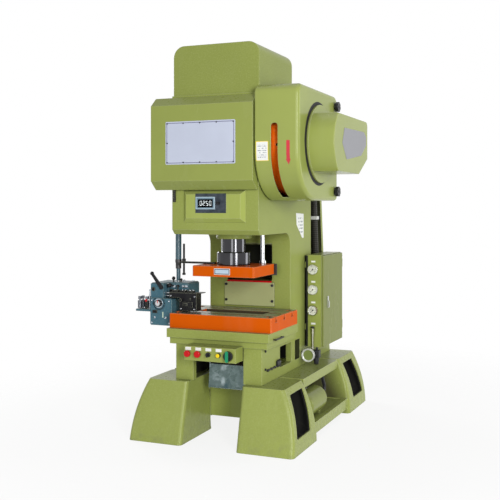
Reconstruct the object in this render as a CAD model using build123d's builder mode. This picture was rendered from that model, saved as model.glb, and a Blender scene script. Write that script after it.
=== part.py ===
from build123d import *
import os
from math import sqrt

os.makedirs("parts", exist_ok=True)

# Mechanical stamping press, C frame, single crank, with a gripper feeder on its left
# Millimetres; origin on the floor in the middle of the four feet, X right, Y back, Z up
# The frame's half width, the stand's height and the crank's line drive the rest

# Main sizes
body_half_x = 300
stand_height = 382
crank_y = -403
running_clearance = 0.05
pivot_clearance = 0.06
press_clearance = 0.02
part_gap = 0.3
sheet = 4

# Stand: feet, deck, rails, shelves and cross beams
foot_outer_x = body_half_x + 265
foot_inner_x = body_half_x - 113
foot_front_y = 791
foot_back_y = 347
foot_front_slant = 93
foot_rear_slant = 40
foot_inward_slant = 28
foot_side_inset = 95
foot_wall = 16
foot_corner_radius = 26
foot_pad_thickness = 16
foot_pad_margin = 50
foot_bolt_x = foot_inner_x + 75
foot_bolt_y = foot_back_y + 93
foot_bolt_radius = 13
foot_window_low_z = 92
foot_window_high_z = stand_height - 38
foot_window_width = 245
foot_window_lean = 62
foot_window_top_width = 225
foot_window_margin = 80
foot_window_radius = 12
deck_thickness = 60
deck_hole_margin = 40
rail_outer_x = foot_outer_x - 20
rail_width = 36
rail_bottom_z = 34
rail_height = 72
shelf_thickness = 10
shelf_drop = 8
cross_beam_bottom_z = 96
cross_beam_height = stand_height - 2 * cross_beam_bottom_z
cross_beam_thickness = 20

# Cast frame: bed, throat, column and head
bed_front_y = crank_y - 237
side_wall = 40
bed_cavity_top_z = stand_height + 258
pier_half_gap = body_half_x - 125
bed_window_bottom_z = stand_height + 59
bed_window_top_z = stand_height + 194
bed_window_spans = ((crank_y + 66, crank_y + 273), (crank_y + 341, crank_y + 435))
bed_window_radius = 8
step_bottom_z = stand_height + 228
step_half_x = body_half_x + 40
step_front_y = bed_front_y - 10
flange_bottom_z = stand_height + 269
flange_half_x = body_half_x + 56
flange_front_y = bed_front_y - 25
seat_z = stand_height + 325
throat_y = crank_y + 253
throat_radius = 85
underside_z = seat_z + 608
underside_chamfer = 30
head_front_y = crank_y - 288
head_top_z = underside_z + 881
rear_low_y = 700
rear_mid_y = rear_low_y - 146
rear_mid_z = seat_z + 365
rear_top_y = rear_low_y - 270
column_web_y = rear_low_y - 438
recess_depth = 75
recess_bottom_z = seat_z + 53
recess_top_z = head_top_z - 86
recess_radius = 8
rear_flange = 36
rear_window_low_z = seat_z + 278
rear_window_high_z = underside_z - 25
rear_window_half_x = body_half_x - 132
rear_window_depth = 260
rear_window_top_radius = 70
rear_window_low_radius = 12

# Crank line, chamber, bushes and clutch
crank_z = underside_z + 573
crank_throw = 15
journal_radius = 60
shaft_radius = 55
eccentric_radius = 78
eccentric_half_width = 52
head_wall = 95
bush_wall = 15
chamber_half_y = 213
chamber_low_z = crank_z - 228
chamber_high_z = crank_z + 232
chamber_floor_z = underside_z + 85
clutch_radius = 205

# Ram, guide, connecting rod and guide posts
ram_radius = 79
ram_collar_radius = 111
ram_collar_height = 86
ram_top_z = underside_z + 185
guide_flange_radius = 116
guide_flange_thickness = 34
guide_wall = 18
rod_wall = 30
rod_shank_width = 110
slide_stroke = 30
slide_half_x = body_half_x - 82
slide_front_y = crank_y - 172
slide_back_y = crank_y + 168
slide_bottom_z = underside_z - 274
slide_thickness = 69
slide_bolt_x = slide_half_x - 58
slide_bolt_y = 120
slide_bolt_radius = 8
slide_bolt_depth = 40
shank_hole_radius = 20
shank_hole_depth = 45
front_label_left_x = -60
front_label_right_x = 52
front_label_margin = 14
scale_plate_reach = 16
scale_plate_width = 86
scale_plate_drop = 8
scale_plate_thickness = 12
post_radius = 15
post_x = slide_half_x - 73
post_y = crank_y + 141
post_top_z = underside_z + 75
post_collar_height = 22
post_bush_wall = 8
post_bush_flange = 15
post_headroom = 30

# Bolster, throat cover and screws
bolster_half_x = body_half_x + 57
bolster_front_y = crank_y - 224
bolster_back_y = throat_y - 15
bolster_thickness = 94
slot_pitch = 140
slot_width = 18
slot_tee_width = 30
slot_tee_height = 13
slot_depth = 36
bolster_hole_half_x = body_half_x - 65
bolster_hole_half_y = 63
bolster_hole_radius = 6
scrap_hole_half_y = 50
bolster_screw_radius = 10
bolster_screw_length = 100
bolster_screw_x = bolster_half_x - 37
bolster_screw_y = 170
throat_cover_half_x = rear_window_half_x + 18
throat_cover_thickness = 8
throat_cover_gap = 12
throat_strip_inset = 20
throat_screw_x = throat_cover_half_x - 14
throat_screw_heights = (bolster_thickness + seat_z + 47, rear_window_low_z - 30)
throat_screw_radius = 9
throat_screw_rise = 7

# Flywheel, clutch side guard and belt drive
flywheel_radius = 325
flywheel_left_x = body_half_x + 72
flywheel_width = 130
flywheel_rim = 62
flywheel_web = 42
barring_hole_radius = 9
barring_hole_depth = 60
barring_hole_turn = 86
guard_right_x = body_half_x + 291
hub_radius = 92
hub_left_x = body_half_x + 32
hub_right_x = guard_right_x + 9
guard_front_y = crank_y - 362
guard_back_y = crank_y + 389
guard_bottom_z = crank_z - 358
guard_top_z = crank_z + 343
guard_top_radius = 60
guard_low_radius = 300
guard_heel_radius = 30
guard_edge_radius = 24
guard_rim_radius = 14
guard_lip = 12
slot_left_x = guard_right_x - 179
slot_right_x = guard_right_x - 136
slot_top_z = crank_z + 107
slot_radius = 20
ring_radius = 264
cover_radius = 227
cover_right_x = guard_right_x + 175
cover_half_height = 178
collar_radius = 247
collar_y = crank_y + 19
collar_thickness = 12
pulley_radius = 156
pulley_width = 62
pulley_recess = 20
pulley_rim = 24
motor_y = crank_y + 435
motor_z = crank_z + 42
motor_radius = 88
motor_end_x = guard_right_x - 31
motor_shaft_radius = 19
motor_pulley_radius = 58
motor_bracket_drop = 190
cover_back_y = motor_y + 76
cover_back_low_z = crank_z - 74
cover_taper_y = cover_back_y - 200
belt_thickness = 9
belt_plate_corners = ((-20, 95), (417, 103), (471, 74), (471, 17), (351, -58), (26, -100), (-64, -1))
belt_plate_thickness = 1.6
knob_radius = 33
knob_stem_radius = 6
small_stem_radius = 5
guard_knob_y = guard_back_y - 58
guard_knob_low_z = guard_bottom_z + 62
guard_knob_high_z = guard_top_z - 73

# Head covers, instrument panel and name plate
front_cover_left_x = -body_half_x - 108
front_cover_face_y = head_front_y - 83
front_cover_low_z = crank_z - 291
front_cover_high_z = crank_z + 294
front_cover_chamfer = 63
front_cover_chamfer_height = 55
name_plate_left_x = -body_half_x - 1
name_plate_right_x = body_half_x - 118
name_plate_low_z = crank_z - 133
name_plate_high_z = crank_z + 136
plate_thickness = 2
stud_margin = 12
stud_radius = 4.5
stud_columns = 5
panel_half_x = body_half_x - 85
panel_low_z = underside_z + 77
panel_high_z = underside_z + 279
panel_rise = 27
display_plate = (-119, 93, panel_low_z + 60, panel_low_z + 182)
display_unit = (-115, 18, panel_low_z + 83, panel_low_z + 161)
display_window = (-99, 5, panel_low_z + 95, panel_low_z + 146)
display_plate_rise = 2
display_unit_rise = 6
display_recess = 2
display_shaft_radius = 5
knob_x = 41
knob_z = panel_low_z + 121
top_cover_half_x = body_half_x - 2
top_cover_front_y = head_front_y + 15
top_cover_back_y = crank_y + 291
top_cover_top_z = head_top_z + 319
top_cover_radius = 75

# Control box and its push buttons
box_half_x = 176
box_front_y = step_front_y - 110
box_low_z = stand_height + 150
box_high_z = stand_height + 240
box_sheet = 2
button_z = stand_height + 194
button_pitch = 70
button_first_x = -148
button_travel = 5
button_stem_radius = 7
button_stem_depth = 16
bezel_radius = 15
bezel_shank_radius = 10.9
bezel_rise = 6

# Air cabinet on the column's right side, with its door, gauges and regulator
cabinet_left_x = body_half_x + 12
cabinet_right_x = cabinet_left_x + 115
cabinet_front_y = column_web_y - 132
cabinet_back_y = cabinet_front_y + 445
cabinet_low_z = stand_height + 121
cabinet_high_z = cabinet_low_z + 647
door_gap = 0.4
door_thickness = 14
door_margin = 4
hinge_radius = 6
hinge_length = 30
handle_y = cabinet_front_y + 82
handle_low_z = cabinet_low_z + 271
handle_high_z = cabinet_low_z + 354
gauge_x = cabinet_left_x + 54
gauge_heights = (cabinet_low_z + 546, cabinet_low_z + 404, cabinet_low_z + 259)
gauge_radius = 37
gauge_rim = 5
gauge_depth = 22
gauge_dial_depth = 8
needle_length = 25
needle_pin_radius = 2
needle_angle = 225
valve_z = cabinet_low_z + 103
valve_y = cabinet_front_y - 16
regulator_x = gauge_x - 17
regulator_y = cabinet_front_y - 52
regulator_z = cabinet_low_z - 48
regulator_radius = 46
regulator_axis_x = gauge_x + 26
regulator_axis_y = cabinet_front_y - 10

# Air tank on the right shelf with its hose, pipe in the column's channel, scrap chute
tank_x = rail_outer_x - 113
tank_front_y = 29 - foot_back_y
tank_back_y = tank_front_y + 322
tank_headroom = 52
tank_end_radius = 34
saddle_height = 6
drain_drop = 36
hose_radius = 12
hose_aside = 30
hose_above = 18
conduit_x = body_half_x - 38
conduit_inset = 70
conduit_radius = 24
clip_z = underside_z + 92
clip_margin = 4
cable_left_x = 8 - body_half_x
cable_right_x = 26 - body_half_x
cable_low_z = front_cover_low_z - 76
cable_thickness = 12
chute_left_x = -100
chute_right_x = 152
chute_front_y = crank_y - 157
chute_back_y = crank_y + 103
chute_high_z = bed_cavity_top_z - 80
chute_low_z = bed_cavity_top_z - 160
chute_lip_z = stand_height - 52
chute_lip_reach = 15

# Gearbox on the crank's left end; both bevel gears are cut on cones that meet at one point
bevel_x = -body_half_x - 114
bevel_tip = 30
bevel_back = 60
bevel_play = 0.25
gear_stub_radius = 24
takeoff_left_x = bevel_x - 76
takeoff_half_y = 75
takeoff_low_z = crank_z - 88
takeoff_high_z = crank_z + 72
takeoff_wall = 8
feed_shaft_radius = 14
sleeve_low_z = underside_z - 180
sleeve_high_z = underside_z

# Gripper feeder on the left of the bolster
feeder_left_x = bevel_x - 126
feeder_right_x = bevel_x + 36
feeder_front_y = crank_y - 157
feeder_back_y = crank_y + 103
feeder_low_z = seat_z - 1
feeder_high_z = seat_z + 177
feeder_top_z = seat_z + 278
feeder_house_y = crank_y - 75
feeder_house_right_x = -body_half_x
tower_right_x = feeder_left_x + 90
feeder_rail_y = feeder_front_y + 44
feeder_rail_radius = 6
carriage_left_x = feeder_right_x - 24
carriage_right_x = carriage_left_x + 202
carriage_block_x = carriage_left_x + 77
feeder_rail_end_x = carriage_right_x - 6
dial_x = feeder_left_x + 65
dial_z = feeder_high_z - 32
lever_x = feeder_left_x + 78
lever_z = feeder_high_z + 71
feed_shaft_low_z = feeder_high_z + 46
arm_right_x = 78 - slide_half_x
arm_rod_x = bevel_x + 42
arm_rod_low_z = slide_bottom_z - 11
arm_rod_high_z = slide_bottom_z + 200

# Places worked out from the driving dimensions
bolster_top_z = seat_z + bolster_thickness
throat_face_y = throat_y - throat_cover_thickness
shelf_top_z = rail_bottom_z + rail_height - shelf_drop
deck_bottom_z = stand_height - deck_thickness
tank_radius = (deck_bottom_z - shelf_top_z - tank_headroom) / 2
tank_z = shelf_top_z + saddle_height + tank_radius
door_axis_x = cabinet_right_x + 6
door_axis_y = cabinet_back_y + hinge_radius
button_places = [button_first_x + i * button_pitch for i in range(5)]
slide_top_z = slide_bottom_z + slide_thickness
display_plate_y = head_front_y - panel_rise - display_plate_rise
display_unit_y = display_plate_y - display_unit_rise
stud_left_x = name_plate_left_x + stud_margin
stud_step_x = (name_plate_right_x - name_plate_left_x - 2 * stud_margin) / (stud_columns - 1)
stud_rows = (
    name_plate_low_z + stud_margin,
    (name_plate_low_z + name_plate_high_z) / 2,
    name_plate_high_z - stud_margin,
)
stud_places = [
    (stud_left_x + column * stud_step_x, z)
    for column in range(stud_columns)
    for z in stud_rows
    if column in (0, stud_columns - 1) or z != stud_rows[1]
]
rail_heights = (feeder_high_z + 16, feeder_high_z + 35)
bolster_screw_places = [
    (sx * bolster_screw_x, crank_y + sy * bolster_screw_y) for sx in (-1, 1) for sy in (-1, 1)
]


def rear_y_at(z):
    """The frame's rear edge at a height, along its upper or lower straight."""
    if z < rear_mid_z:
        return rear_low_y + (rear_mid_y - rear_low_y) * (z - stand_height) / (rear_mid_z - stand_height)
    return rear_mid_y + (rear_top_y - rear_mid_y) * (z - rear_mid_z) / (head_top_z - rear_mid_z)


def box_between(low, high, mode=Mode.ADD):
    """A block from its low corner to its high corner, in the part that is being built."""
    size = [b - a for a, b in zip(low, high)]
    middle = [(a + b) / 2 for a, b in zip(low, high)]
    with Locations(tuple(middle)):
        return Box(*size, mode=mode)


def rod_along_x(x0, x1, y, z, radius, mode=Mode.ADD):
    """A round bar along X between two planes, in the part that is being built."""
    with BuildSketch(Plane.YZ.offset(x0)) as disc:
        with Locations((y, z)):
            Circle(radius)
    return extrude(disc.sketch, amount=x1 - x0, mode=mode)


def rod_along_y(x, y0, y1, z, radius, mode=Mode.ADD):
    """A round bar along Y between two planes, in the part that is being built."""
    with BuildSketch(Plane.XZ.offset(-y1)) as disc:
        with Locations((x, z)):
            Circle(radius)
    return extrude(disc.sketch, amount=y1 - y0, mode=mode)


def rod_along_z(x, y, z0, z1, radius, mode=Mode.ADD):
    """A round bar along Z between two planes, in the part that is being built."""
    with BuildSketch(Plane.XY.offset(z0)) as disc:
        with Locations((x, y)):
            Circle(radius)
    return extrude(disc.sketch, amount=z1 - z0, mode=mode)


def keep(builder, name):
    """Label a finished piece and write its STEP file."""
    builder.part.label = name
    export_step(builder.part, f"parts/{name}.step")


# Stand: four tapered box feet with a window in each outer side, joined by deck, rails and beams

def build_foot(outer_slant, inset):
    """The front right foot's form, drawn in by an inset for its hollow."""
    top = stand_height - inset
    radius = (stand_height**2 + foot_side_inset**2) / (2 * foot_side_inset)
    with BuildPart() as foot:
        with BuildSketch(Plane.XZ.offset(foot_front_y + 10)):
            with BuildLine():
                foot_line = Polyline(
                    (foot_outer_x - inset, 0),
                    (foot_inner_x + inset, 0),
                    (foot_inner_x + inset, top),
                    (foot_outer_x - foot_side_inset - inset, top),
                )
                RadiusArc(foot_line @ 1, foot_line @ 0, radius)
            make_face()
        extrude(amount=-(foot_front_y - foot_back_y + 60))
        with BuildSketch(Plane.YZ.offset(foot_inner_x - 10)):
            Polygon(
                (-foot_front_y + inset, 0),
                (-foot_back_y - inset, 0),
                (-foot_back_y - foot_inward_slant - inset, top),
                (-foot_front_y + outer_slant + inset, top),
                align=None,
            )
        extrude(amount=foot_outer_x - foot_inner_x + 40, mode=Mode.INTERSECT)
        if inset == 0:
            upright = foot.edges().filter_by(lambda e: e.bounding_box().size.Z > 0.9 * top)
            fillet(upright, foot_corner_radius)
    return foot.part


def build_hollow_foot(outer_slant):
    """One foot with its hollow, its side window and a bolted pad on the floor."""
    outer = build_foot(outer_slant, 0)
    inner = build_foot(outer_slant, foot_wall)
    window_low_y = -foot_front_y + foot_window_margin
    with BuildPart() as foot:
        add(outer)
        add(inner, mode=Mode.SUBTRACT)
        with BuildSketch(Plane.YZ.offset(foot_outer_x - foot_side_inset - 60)) as window:
            Polygon(
                (window_low_y, foot_window_low_z),
                (window_low_y + foot_window_width, foot_window_low_z),
                (window_low_y + foot_window_top_width + foot_window_lean, foot_window_high_z),
                (window_low_y + foot_window_lean, foot_window_high_z),
                align=None,
            )
            fillet(window.vertices(), foot_window_radius)
        extrude(amount=foot_side_inset + 80, mode=Mode.SUBTRACT)
        box_between(
            (foot_inner_x + 1, -foot_bolt_y - foot_pad_margin, 0),
            (foot_bolt_x + foot_pad_margin, -foot_back_y - foot_wall + 1, foot_pad_thickness),
        )
        rod_along_z(
            foot_bolt_x, -foot_bolt_y, -1, foot_pad_thickness + 1, foot_bolt_radius,
            mode=Mode.SUBTRACT,
        )
    return foot.part


front_foot = build_hollow_foot(foot_front_slant)
rear_foot = build_hollow_foot(foot_rear_slant).mirror(Plane.XZ)
deck_half_x = foot_outer_x - foot_side_inset
deck_half_y = foot_back_y + 6
with BuildPart() as stand:
    add(front_foot)
    add(front_foot.mirror(Plane.YZ))
    add(rear_foot)
    add(rear_foot.mirror(Plane.YZ))
    box_between(
        (-deck_half_x, -deck_half_y, deck_bottom_z),
        (deck_half_x, deck_half_y, stand_height),
    )
    box_between(
        (-pier_half_gap, -deck_half_y + 1, deck_bottom_z - 1),
        (pier_half_gap, deck_half_y - deck_hole_margin, stand_height + 1),
        mode=Mode.SUBTRACT,
    )
    for side in (-1, 1):
        rail_x = side * (rail_outer_x - rail_width / 2)
        with Locations((rail_x, 0, rail_bottom_z + rail_height / 2)):
            Box(rail_width, 2 * foot_back_y + 20, rail_height)
        shelf_half = (rail_outer_x - rail_width - foot_inner_x) / 2
        shelf_z = shelf_top_z - shelf_thickness / 2
        with Locations((side * (foot_inner_x + shelf_half), 0, shelf_z)):
            Box(2 * shelf_half + 2, 2 * foot_back_y + 20, shelf_thickness)
        beam_y = side * (foot_back_y + foot_inward_slant - cross_beam_thickness / 2)
        with Locations((0, beam_y, cross_beam_bottom_z + cross_beam_height / 2)):
            Box(2 * foot_inner_x + 8, cross_beam_thickness, cross_beam_height)
keep(stand, "stand")

# Frame: one casting with bed, throat, column and head
bed_floor_z = stand_height
with BuildPart() as frame_casting:
    with BuildSketch(Plane.YZ) as c_outline:
        Polygon(
            (bed_front_y, bed_floor_z),
            (rear_low_y, bed_floor_z),
            (rear_mid_y, rear_mid_z),
            (rear_top_y, head_top_z),
            (head_front_y, head_top_z),
            (head_front_y, underside_z + underside_chamfer),
            (head_front_y + underside_chamfer, underside_z),
            (throat_y, underside_z),
            (throat_y, seat_z),
            (bed_front_y, seat_z),
            align=None,
        )
        throat_corner = c_outline.vertices().sort_by_distance((throat_y, underside_z, 0))[0]
        fillet(throat_corner, throat_radius)
    extrude(amount=body_half_x, both=True)
    box_between(
        (-step_half_x, step_front_y, step_bottom_z),
        (step_half_x, throat_y, flange_bottom_z),
    )
    box_between(
        (-flange_half_x, flange_front_y, flange_bottom_z),
        (flange_half_x, throat_y, seat_z),
    )
    # Hollow of the bed, its front gap between two piers, and the side windows
    box_between(
        (-body_half_x + side_wall, bed_front_y + side_wall, bed_floor_z - 1),
        (body_half_x - side_wall, column_web_y, bed_cavity_top_z),
        mode=Mode.SUBTRACT,
    )
    box_between(
        (-pier_half_gap, bed_front_y - 1, bed_floor_z - 1),
        (pier_half_gap, bed_front_y + side_wall + 1, step_bottom_z),
        mode=Mode.SUBTRACT,
    )
    for low_y, high_y in bed_window_spans:
        with BuildSketch(Plane.YZ) as window:
            with Locations(((low_y + high_y) / 2, (bed_window_bottom_z + bed_window_top_z) / 2)):
                Rectangle(high_y - low_y, bed_window_top_z - bed_window_bottom_z)
            fillet(window.vertices(), bed_window_radius)
        extrude(amount=body_half_x + 1, both=True, mode=Mode.SUBTRACT)
    # Scrap hole under the bolster
    box_between(
        (chute_left_x + sheet, crank_y - scrap_hole_half_y, bed_cavity_top_z - 1),
        (chute_right_x - sheet, crank_y + scrap_hole_half_y, seat_z + 1),
        mode=Mode.SUBTRACT,
    )
    # Opening in the throat's back wall behind the ram
    with BuildSketch(Plane.XZ.offset(-throat_y)) as rear_window:
        with Locations((0, (rear_window_low_z + rear_window_high_z) / 2)):
            Rectangle(2 * rear_window_half_x, rear_window_high_z - rear_window_low_z)
        fillet(rear_window.vertices().group_by(Axis.Y)[-1], rear_window_top_radius)
        fillet(rear_window.vertices().group_by(Axis.Y)[0], rear_window_low_radius)
    extrude(amount=-rear_window_depth, mode=Mode.SUBTRACT)
    # Crank chamber, open to the front behind the front cover
    box_between(
        (-body_half_x + head_wall, head_front_y - 1, chamber_low_z),
        (body_half_x - head_wall, crank_y + chamber_half_y, chamber_high_z),
        mode=Mode.SUBTRACT,
    )
    box_between(
        (-body_half_x + head_wall, crank_y - chamber_half_y, chamber_floor_z),
        (body_half_x - head_wall, crank_y + chamber_half_y, chamber_low_z + 1),
        mode=Mode.SUBTRACT,
    )
    # Bores for the crank bushes, the ram guide and the two guide posts
    rod_along_x(
        -body_half_x - 1, body_half_x + 1, crank_y, crank_z,
        journal_radius + bush_wall + part_gap / 2, mode=Mode.SUBTRACT,
    )
    rod_along_z(
        0, crank_y, underside_z - 1, chamber_floor_z + 1,
        ram_radius + guide_wall + part_gap / 2, mode=Mode.SUBTRACT,
    )
    for side in (-1, 1):
        rod_along_z(
            side * post_x, post_y, underside_z - 1, post_top_z + post_headroom + 10,
            post_radius + post_bush_wall + part_gap / 2, mode=Mode.SUBTRACT,
        )
        # Deep channel in each side of the column, between the side plate and the rear flange
        with BuildSketch(Plane.YZ.offset(side * body_half_x)) as channel:
            Polygon(
                (column_web_y, recess_bottom_z),
                (rear_y_at(recess_bottom_z) - rear_flange, recess_bottom_z),
                (rear_mid_y - rear_flange, rear_mid_z),
                (rear_y_at(recess_top_z) - rear_flange, recess_top_z),
                (column_web_y, recess_top_z),
                align=None,
            )
            fillet(channel.vertices(), recess_radius)
        extrude(amount=-side * recess_depth, mode=Mode.SUBTRACT)
    # Bolt and dowel holes for the bolster
    with Locations(Plane.XY.offset(seat_z)):
        with Locations(*bolster_screw_places):
            Hole(bolster_screw_radius - 1, depth=bolster_screw_length - 50)
keep(frame_casting, "frame_casting")

# Bolster: plate with three tee slots, a die hole and counterbored screws
with BuildPart() as bolster:
    box_between(
        (-bolster_half_x, bolster_front_y, seat_z),
        (bolster_half_x, bolster_back_y, bolster_top_z),
    )
    chamfer(bolster.edges().filter_by(Axis.Z), 4)
    chamfer(bolster.faces().sort_by(Axis.Z)[-1].edges(), 2)
    for row in (-1, 0, 1):
        slot_y = crank_y + row * slot_pitch
        box_between(
            (-bolster_half_x - 1, slot_y - slot_width / 2, bolster_top_z - slot_depth),
            (bolster_half_x + 1, slot_y + slot_width / 2, bolster_top_z + 1),
            mode=Mode.SUBTRACT,
        )
        box_between(
            (-bolster_half_x - 1, slot_y - slot_tee_width / 2, bolster_top_z - slot_depth),
            (bolster_half_x + 1, slot_y + slot_tee_width / 2, bolster_top_z - slot_depth + slot_tee_height),
            mode=Mode.SUBTRACT,
        )
    with BuildSketch(Plane.XY.offset(seat_z - 1)) as die_hole:
        with Locations((0, crank_y)):
            Rectangle(2 * bolster_hole_half_x, 2 * bolster_hole_half_y)
        fillet(die_hole.vertices(), bolster_hole_radius)
    extrude(amount=bolster_thickness + 2, mode=Mode.SUBTRACT)
    with Locations(Plane.XY.offset(bolster_top_z)):
        with Locations(*bolster_screw_places):
            CounterBoreHole(
                bolster_screw_radius + 1, bolster_screw_radius * 1.8, bolster_screw_radius * 2 + 6,
                depth=bolster_thickness,
            )
keep(bolster, "bolster")

# Throat: bolted cover plate under the window, with a red edge strip
with BuildPart() as throat_cover:
    box_between(
        (-throat_cover_half_x, throat_face_y, bolster_top_z + throat_cover_gap),
        (throat_cover_half_x, throat_y, rear_window_low_z - throat_cover_gap),
    )
    chamfer(throat_cover.faces().sort_by(Axis.Y)[0].edges(), 1)
    box_between(
        (throat_strip_inset - throat_cover_half_x, throat_face_y + 1, rear_window_low_z - throat_cover_gap),
        (throat_cover_half_x - throat_strip_inset, throat_y, rear_window_low_z),
    )
keep(throat_cover, "throat_cover")

with BuildPart() as screws:
    head_top = bolster_top_z - 6
    for x, y in bolster_screw_places:
        rod_along_z(x, y, head_top - 2 * bolster_screw_radius, head_top, 1.6 * bolster_screw_radius)
        rod_along_z(x, y, seat_z - 48, head_top - 2 * bolster_screw_radius, bolster_screw_radius - 1.2)
        with BuildSketch(Plane.XY.offset(head_top)):
            with Locations((x, y)):
                RegularPolygon(0.8 * bolster_screw_radius, 6)
        extrude(amount=-bolster_screw_radius, mode=Mode.SUBTRACT)
    for x in (-throat_screw_x, throat_screw_x):
        for z in throat_screw_heights:
            rod_along_y(x, throat_face_y - throat_screw_rise, throat_face_y, z, throat_screw_radius)
    for x, z in stud_places:
        rod_along_y(x, front_cover_face_y - 5, front_cover_face_y - plate_thickness, z, stud_radius)
keep(screws, "screws")


# Crank: journals, eccentric and the stub for the flywheel, turned as one piece
with BuildPart() as crankshaft:
    rod_along_x(-body_half_x - 4, -eccentric_half_width, crank_y, crank_z, journal_radius)
    rod_along_x(eccentric_half_width, body_half_x + 8, crank_y, crank_z, journal_radius)
    rod_along_x(
        -eccentric_half_width, eccentric_half_width, crank_y, crank_z + crank_throw, eccentric_radius,
    )
    rod_along_x(body_half_x + 8, hub_right_x + pulley_width + 14, crank_y, crank_z, shaft_radius)
    rod_along_x(bevel_x + bevel_tip, -body_half_x - 4, crank_y, crank_z, gear_stub_radius)
    chamfer(crankshaft.faces().sort_by(Axis.X)[-1].edges(), 4)
    with Locations(Location((bevel_x + (bevel_tip + bevel_back) / 2, crank_y, crank_z), (0, 90, 0))):
        Cone(bevel_tip - bevel_play, bevel_back - bevel_play, bevel_back - bevel_tip)
    rod_along_x(bevel_x + bevel_back, bevel_x + bevel_back + 10, crank_y, crank_z, bevel_back - bevel_play)
keep(crankshaft, "crankshaft")

with BuildPart() as bushes:
    for side in (-1, 1):
        inner_x = side * (body_half_x - head_wall)
        outer_x = side * body_half_x
        low_x = min(inner_x, outer_x)
        high_x = max(inner_x, outer_x)
        rod_along_x(low_x, high_x, crank_y, crank_z, journal_radius + bush_wall)
        rod_along_x(
            low_x - 1, high_x + 1, crank_y, crank_z,
            journal_radius + running_clearance, mode=Mode.SUBTRACT,
        )
        rod_along_z(side * post_x, post_y, underside_z - 12, underside_z, post_radius + post_bush_flange)
        rod_along_z(
            side * post_x, post_y, underside_z, post_top_z + post_headroom, post_radius + post_bush_wall,
        )
        rod_along_z(
            side * post_x, post_y, underside_z - 13, post_top_z + post_headroom + 1,
            post_radius + running_clearance, mode=Mode.SUBTRACT,
        )
keep(bushes, "bushes")

# Ram, its guide, and the connecting rod that the eccentric lifts
with BuildPart() as ram:
    rod_along_z(0, crank_y, slide_top_z, ram_top_z, ram_radius)
    rod_along_z(0, crank_y, slide_top_z, slide_top_z + ram_collar_height, ram_collar_radius)
    chamfer(ram.edges().filter_by(GeomType.CIRCLE).group_by(Axis.Z)[0], 3)
    collar_rims = ram.edges().filter_by(GeomType.CIRCLE).filter_by(lambda e: e.radius > ram_radius + 1)
    chamfer(collar_rims.sort_by(Axis.Z)[-1], 5)
keep(ram, "ram")

with BuildPart() as ram_guide:
    rod_along_z(0, crank_y, underside_z - guide_flange_thickness, underside_z, guide_flange_radius)
    rod_along_z(0, crank_y, underside_z, chamber_floor_z, ram_radius + guide_wall)
    rod_along_z(
        0, crank_y, underside_z - guide_flange_thickness - 1, chamber_floor_z + 1,
        ram_radius + running_clearance, mode=Mode.SUBTRACT,
    )
    flange_rims = ram_guide.edges().filter_by(GeomType.CIRCLE)
    flange_rims = flange_rims.filter_by(lambda e: e.radius > guide_flange_radius - 1)
    fillet(flange_rims.sort_by(Axis.Z)[0], 8)
keep(ram_guide, "ram_guide")

eye_half_y = crank_throw + eccentric_radius + 1
eye_low_z = crank_z - crank_throw - eccentric_radius - 1
eye_high_z = crank_z + crank_throw + slide_stroke + eccentric_radius + 1
with BuildPart() as connecting_rod:
    with BuildSketch(Plane.YZ) as rod_outline:
        with Locations((crank_y, (eye_low_z + eye_high_z) / 2)):
            Rectangle(2 * (eye_half_y + rod_wall), eye_high_z - eye_low_z + 2 * rod_wall)
        fillet(rod_outline.vertices(), eccentric_radius + rod_wall - 2)
        with Locations((crank_y, (ram_top_z + eye_low_z - rod_wall + 20) / 2)):
            Rectangle(rod_shank_width, eye_low_z - rod_wall + 20 - ram_top_z)
        with Locations((crank_y, ram_top_z + 15)):
            Rectangle(2 * ram_radius - 20, 30)
    extrude(amount=eccentric_half_width - 3, both=True)
    with BuildSketch(Plane.YZ) as rod_eye:
        with Locations((crank_y, (eye_low_z + eye_high_z) / 2)):
            Rectangle(2 * eye_half_y, eye_high_z - eye_low_z)
        fillet(rod_eye.vertices(), eccentric_radius)
    extrude(amount=eccentric_half_width, both=True, mode=Mode.SUBTRACT)
keep(connecting_rod, "connecting_rod")

# Slide plate with its guide posts, a bare plate in front and a black scale plate behind
with BuildPart() as slide_plate:
    box_between(
        (-slide_half_x, slide_front_y, slide_bottom_z),
        (slide_half_x, slide_back_y, slide_top_z),
    )
    chamfer(slide_plate.edges().filter_by(Axis.Z), 6)
    chamfer(slide_plate.faces().sort_by(Axis.Z)[-1].edges(), 3)
    rod_along_z(
        0, crank_y, slide_bottom_z - 1, slide_bottom_z + shank_hole_depth, shank_hole_radius,
        mode=Mode.SUBTRACT,
    )
    for x in (-slide_bolt_x, slide_bolt_x):
        for y in (crank_y - slide_bolt_y, crank_y + slide_bolt_y):
            rod_along_z(
                x, y, slide_bottom_z - 1, slide_bottom_z + slide_bolt_depth, slide_bolt_radius,
                mode=Mode.SUBTRACT,
            )
keep(slide_plate, "slide_plate")

with BuildPart() as guide_posts:
    for side in (-1, 1):
        rod_along_z(side * post_x, post_y, slide_top_z, post_top_z, post_radius)
        rod_along_z(side * post_x, post_y, slide_top_z, slide_top_z + post_collar_height, post_radius + 9)
keep(guide_posts, "guide_posts")

with BuildPart() as slide_labels:
    box_between(
        (front_label_left_x, slide_front_y - plate_thickness, slide_bottom_z + front_label_margin),
        (front_label_right_x, slide_front_y, slide_top_z - front_label_margin),
    )
    scale_plate_right_x = slide_half_x + scale_plate_reach
    box_between(
        (scale_plate_right_x - scale_plate_width, slide_back_y, slide_bottom_z - scale_plate_drop),
        (scale_plate_right_x, slide_back_y + scale_plate_thickness, slide_top_z),
    )
keep(slide_labels, "slide_labels")

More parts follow.
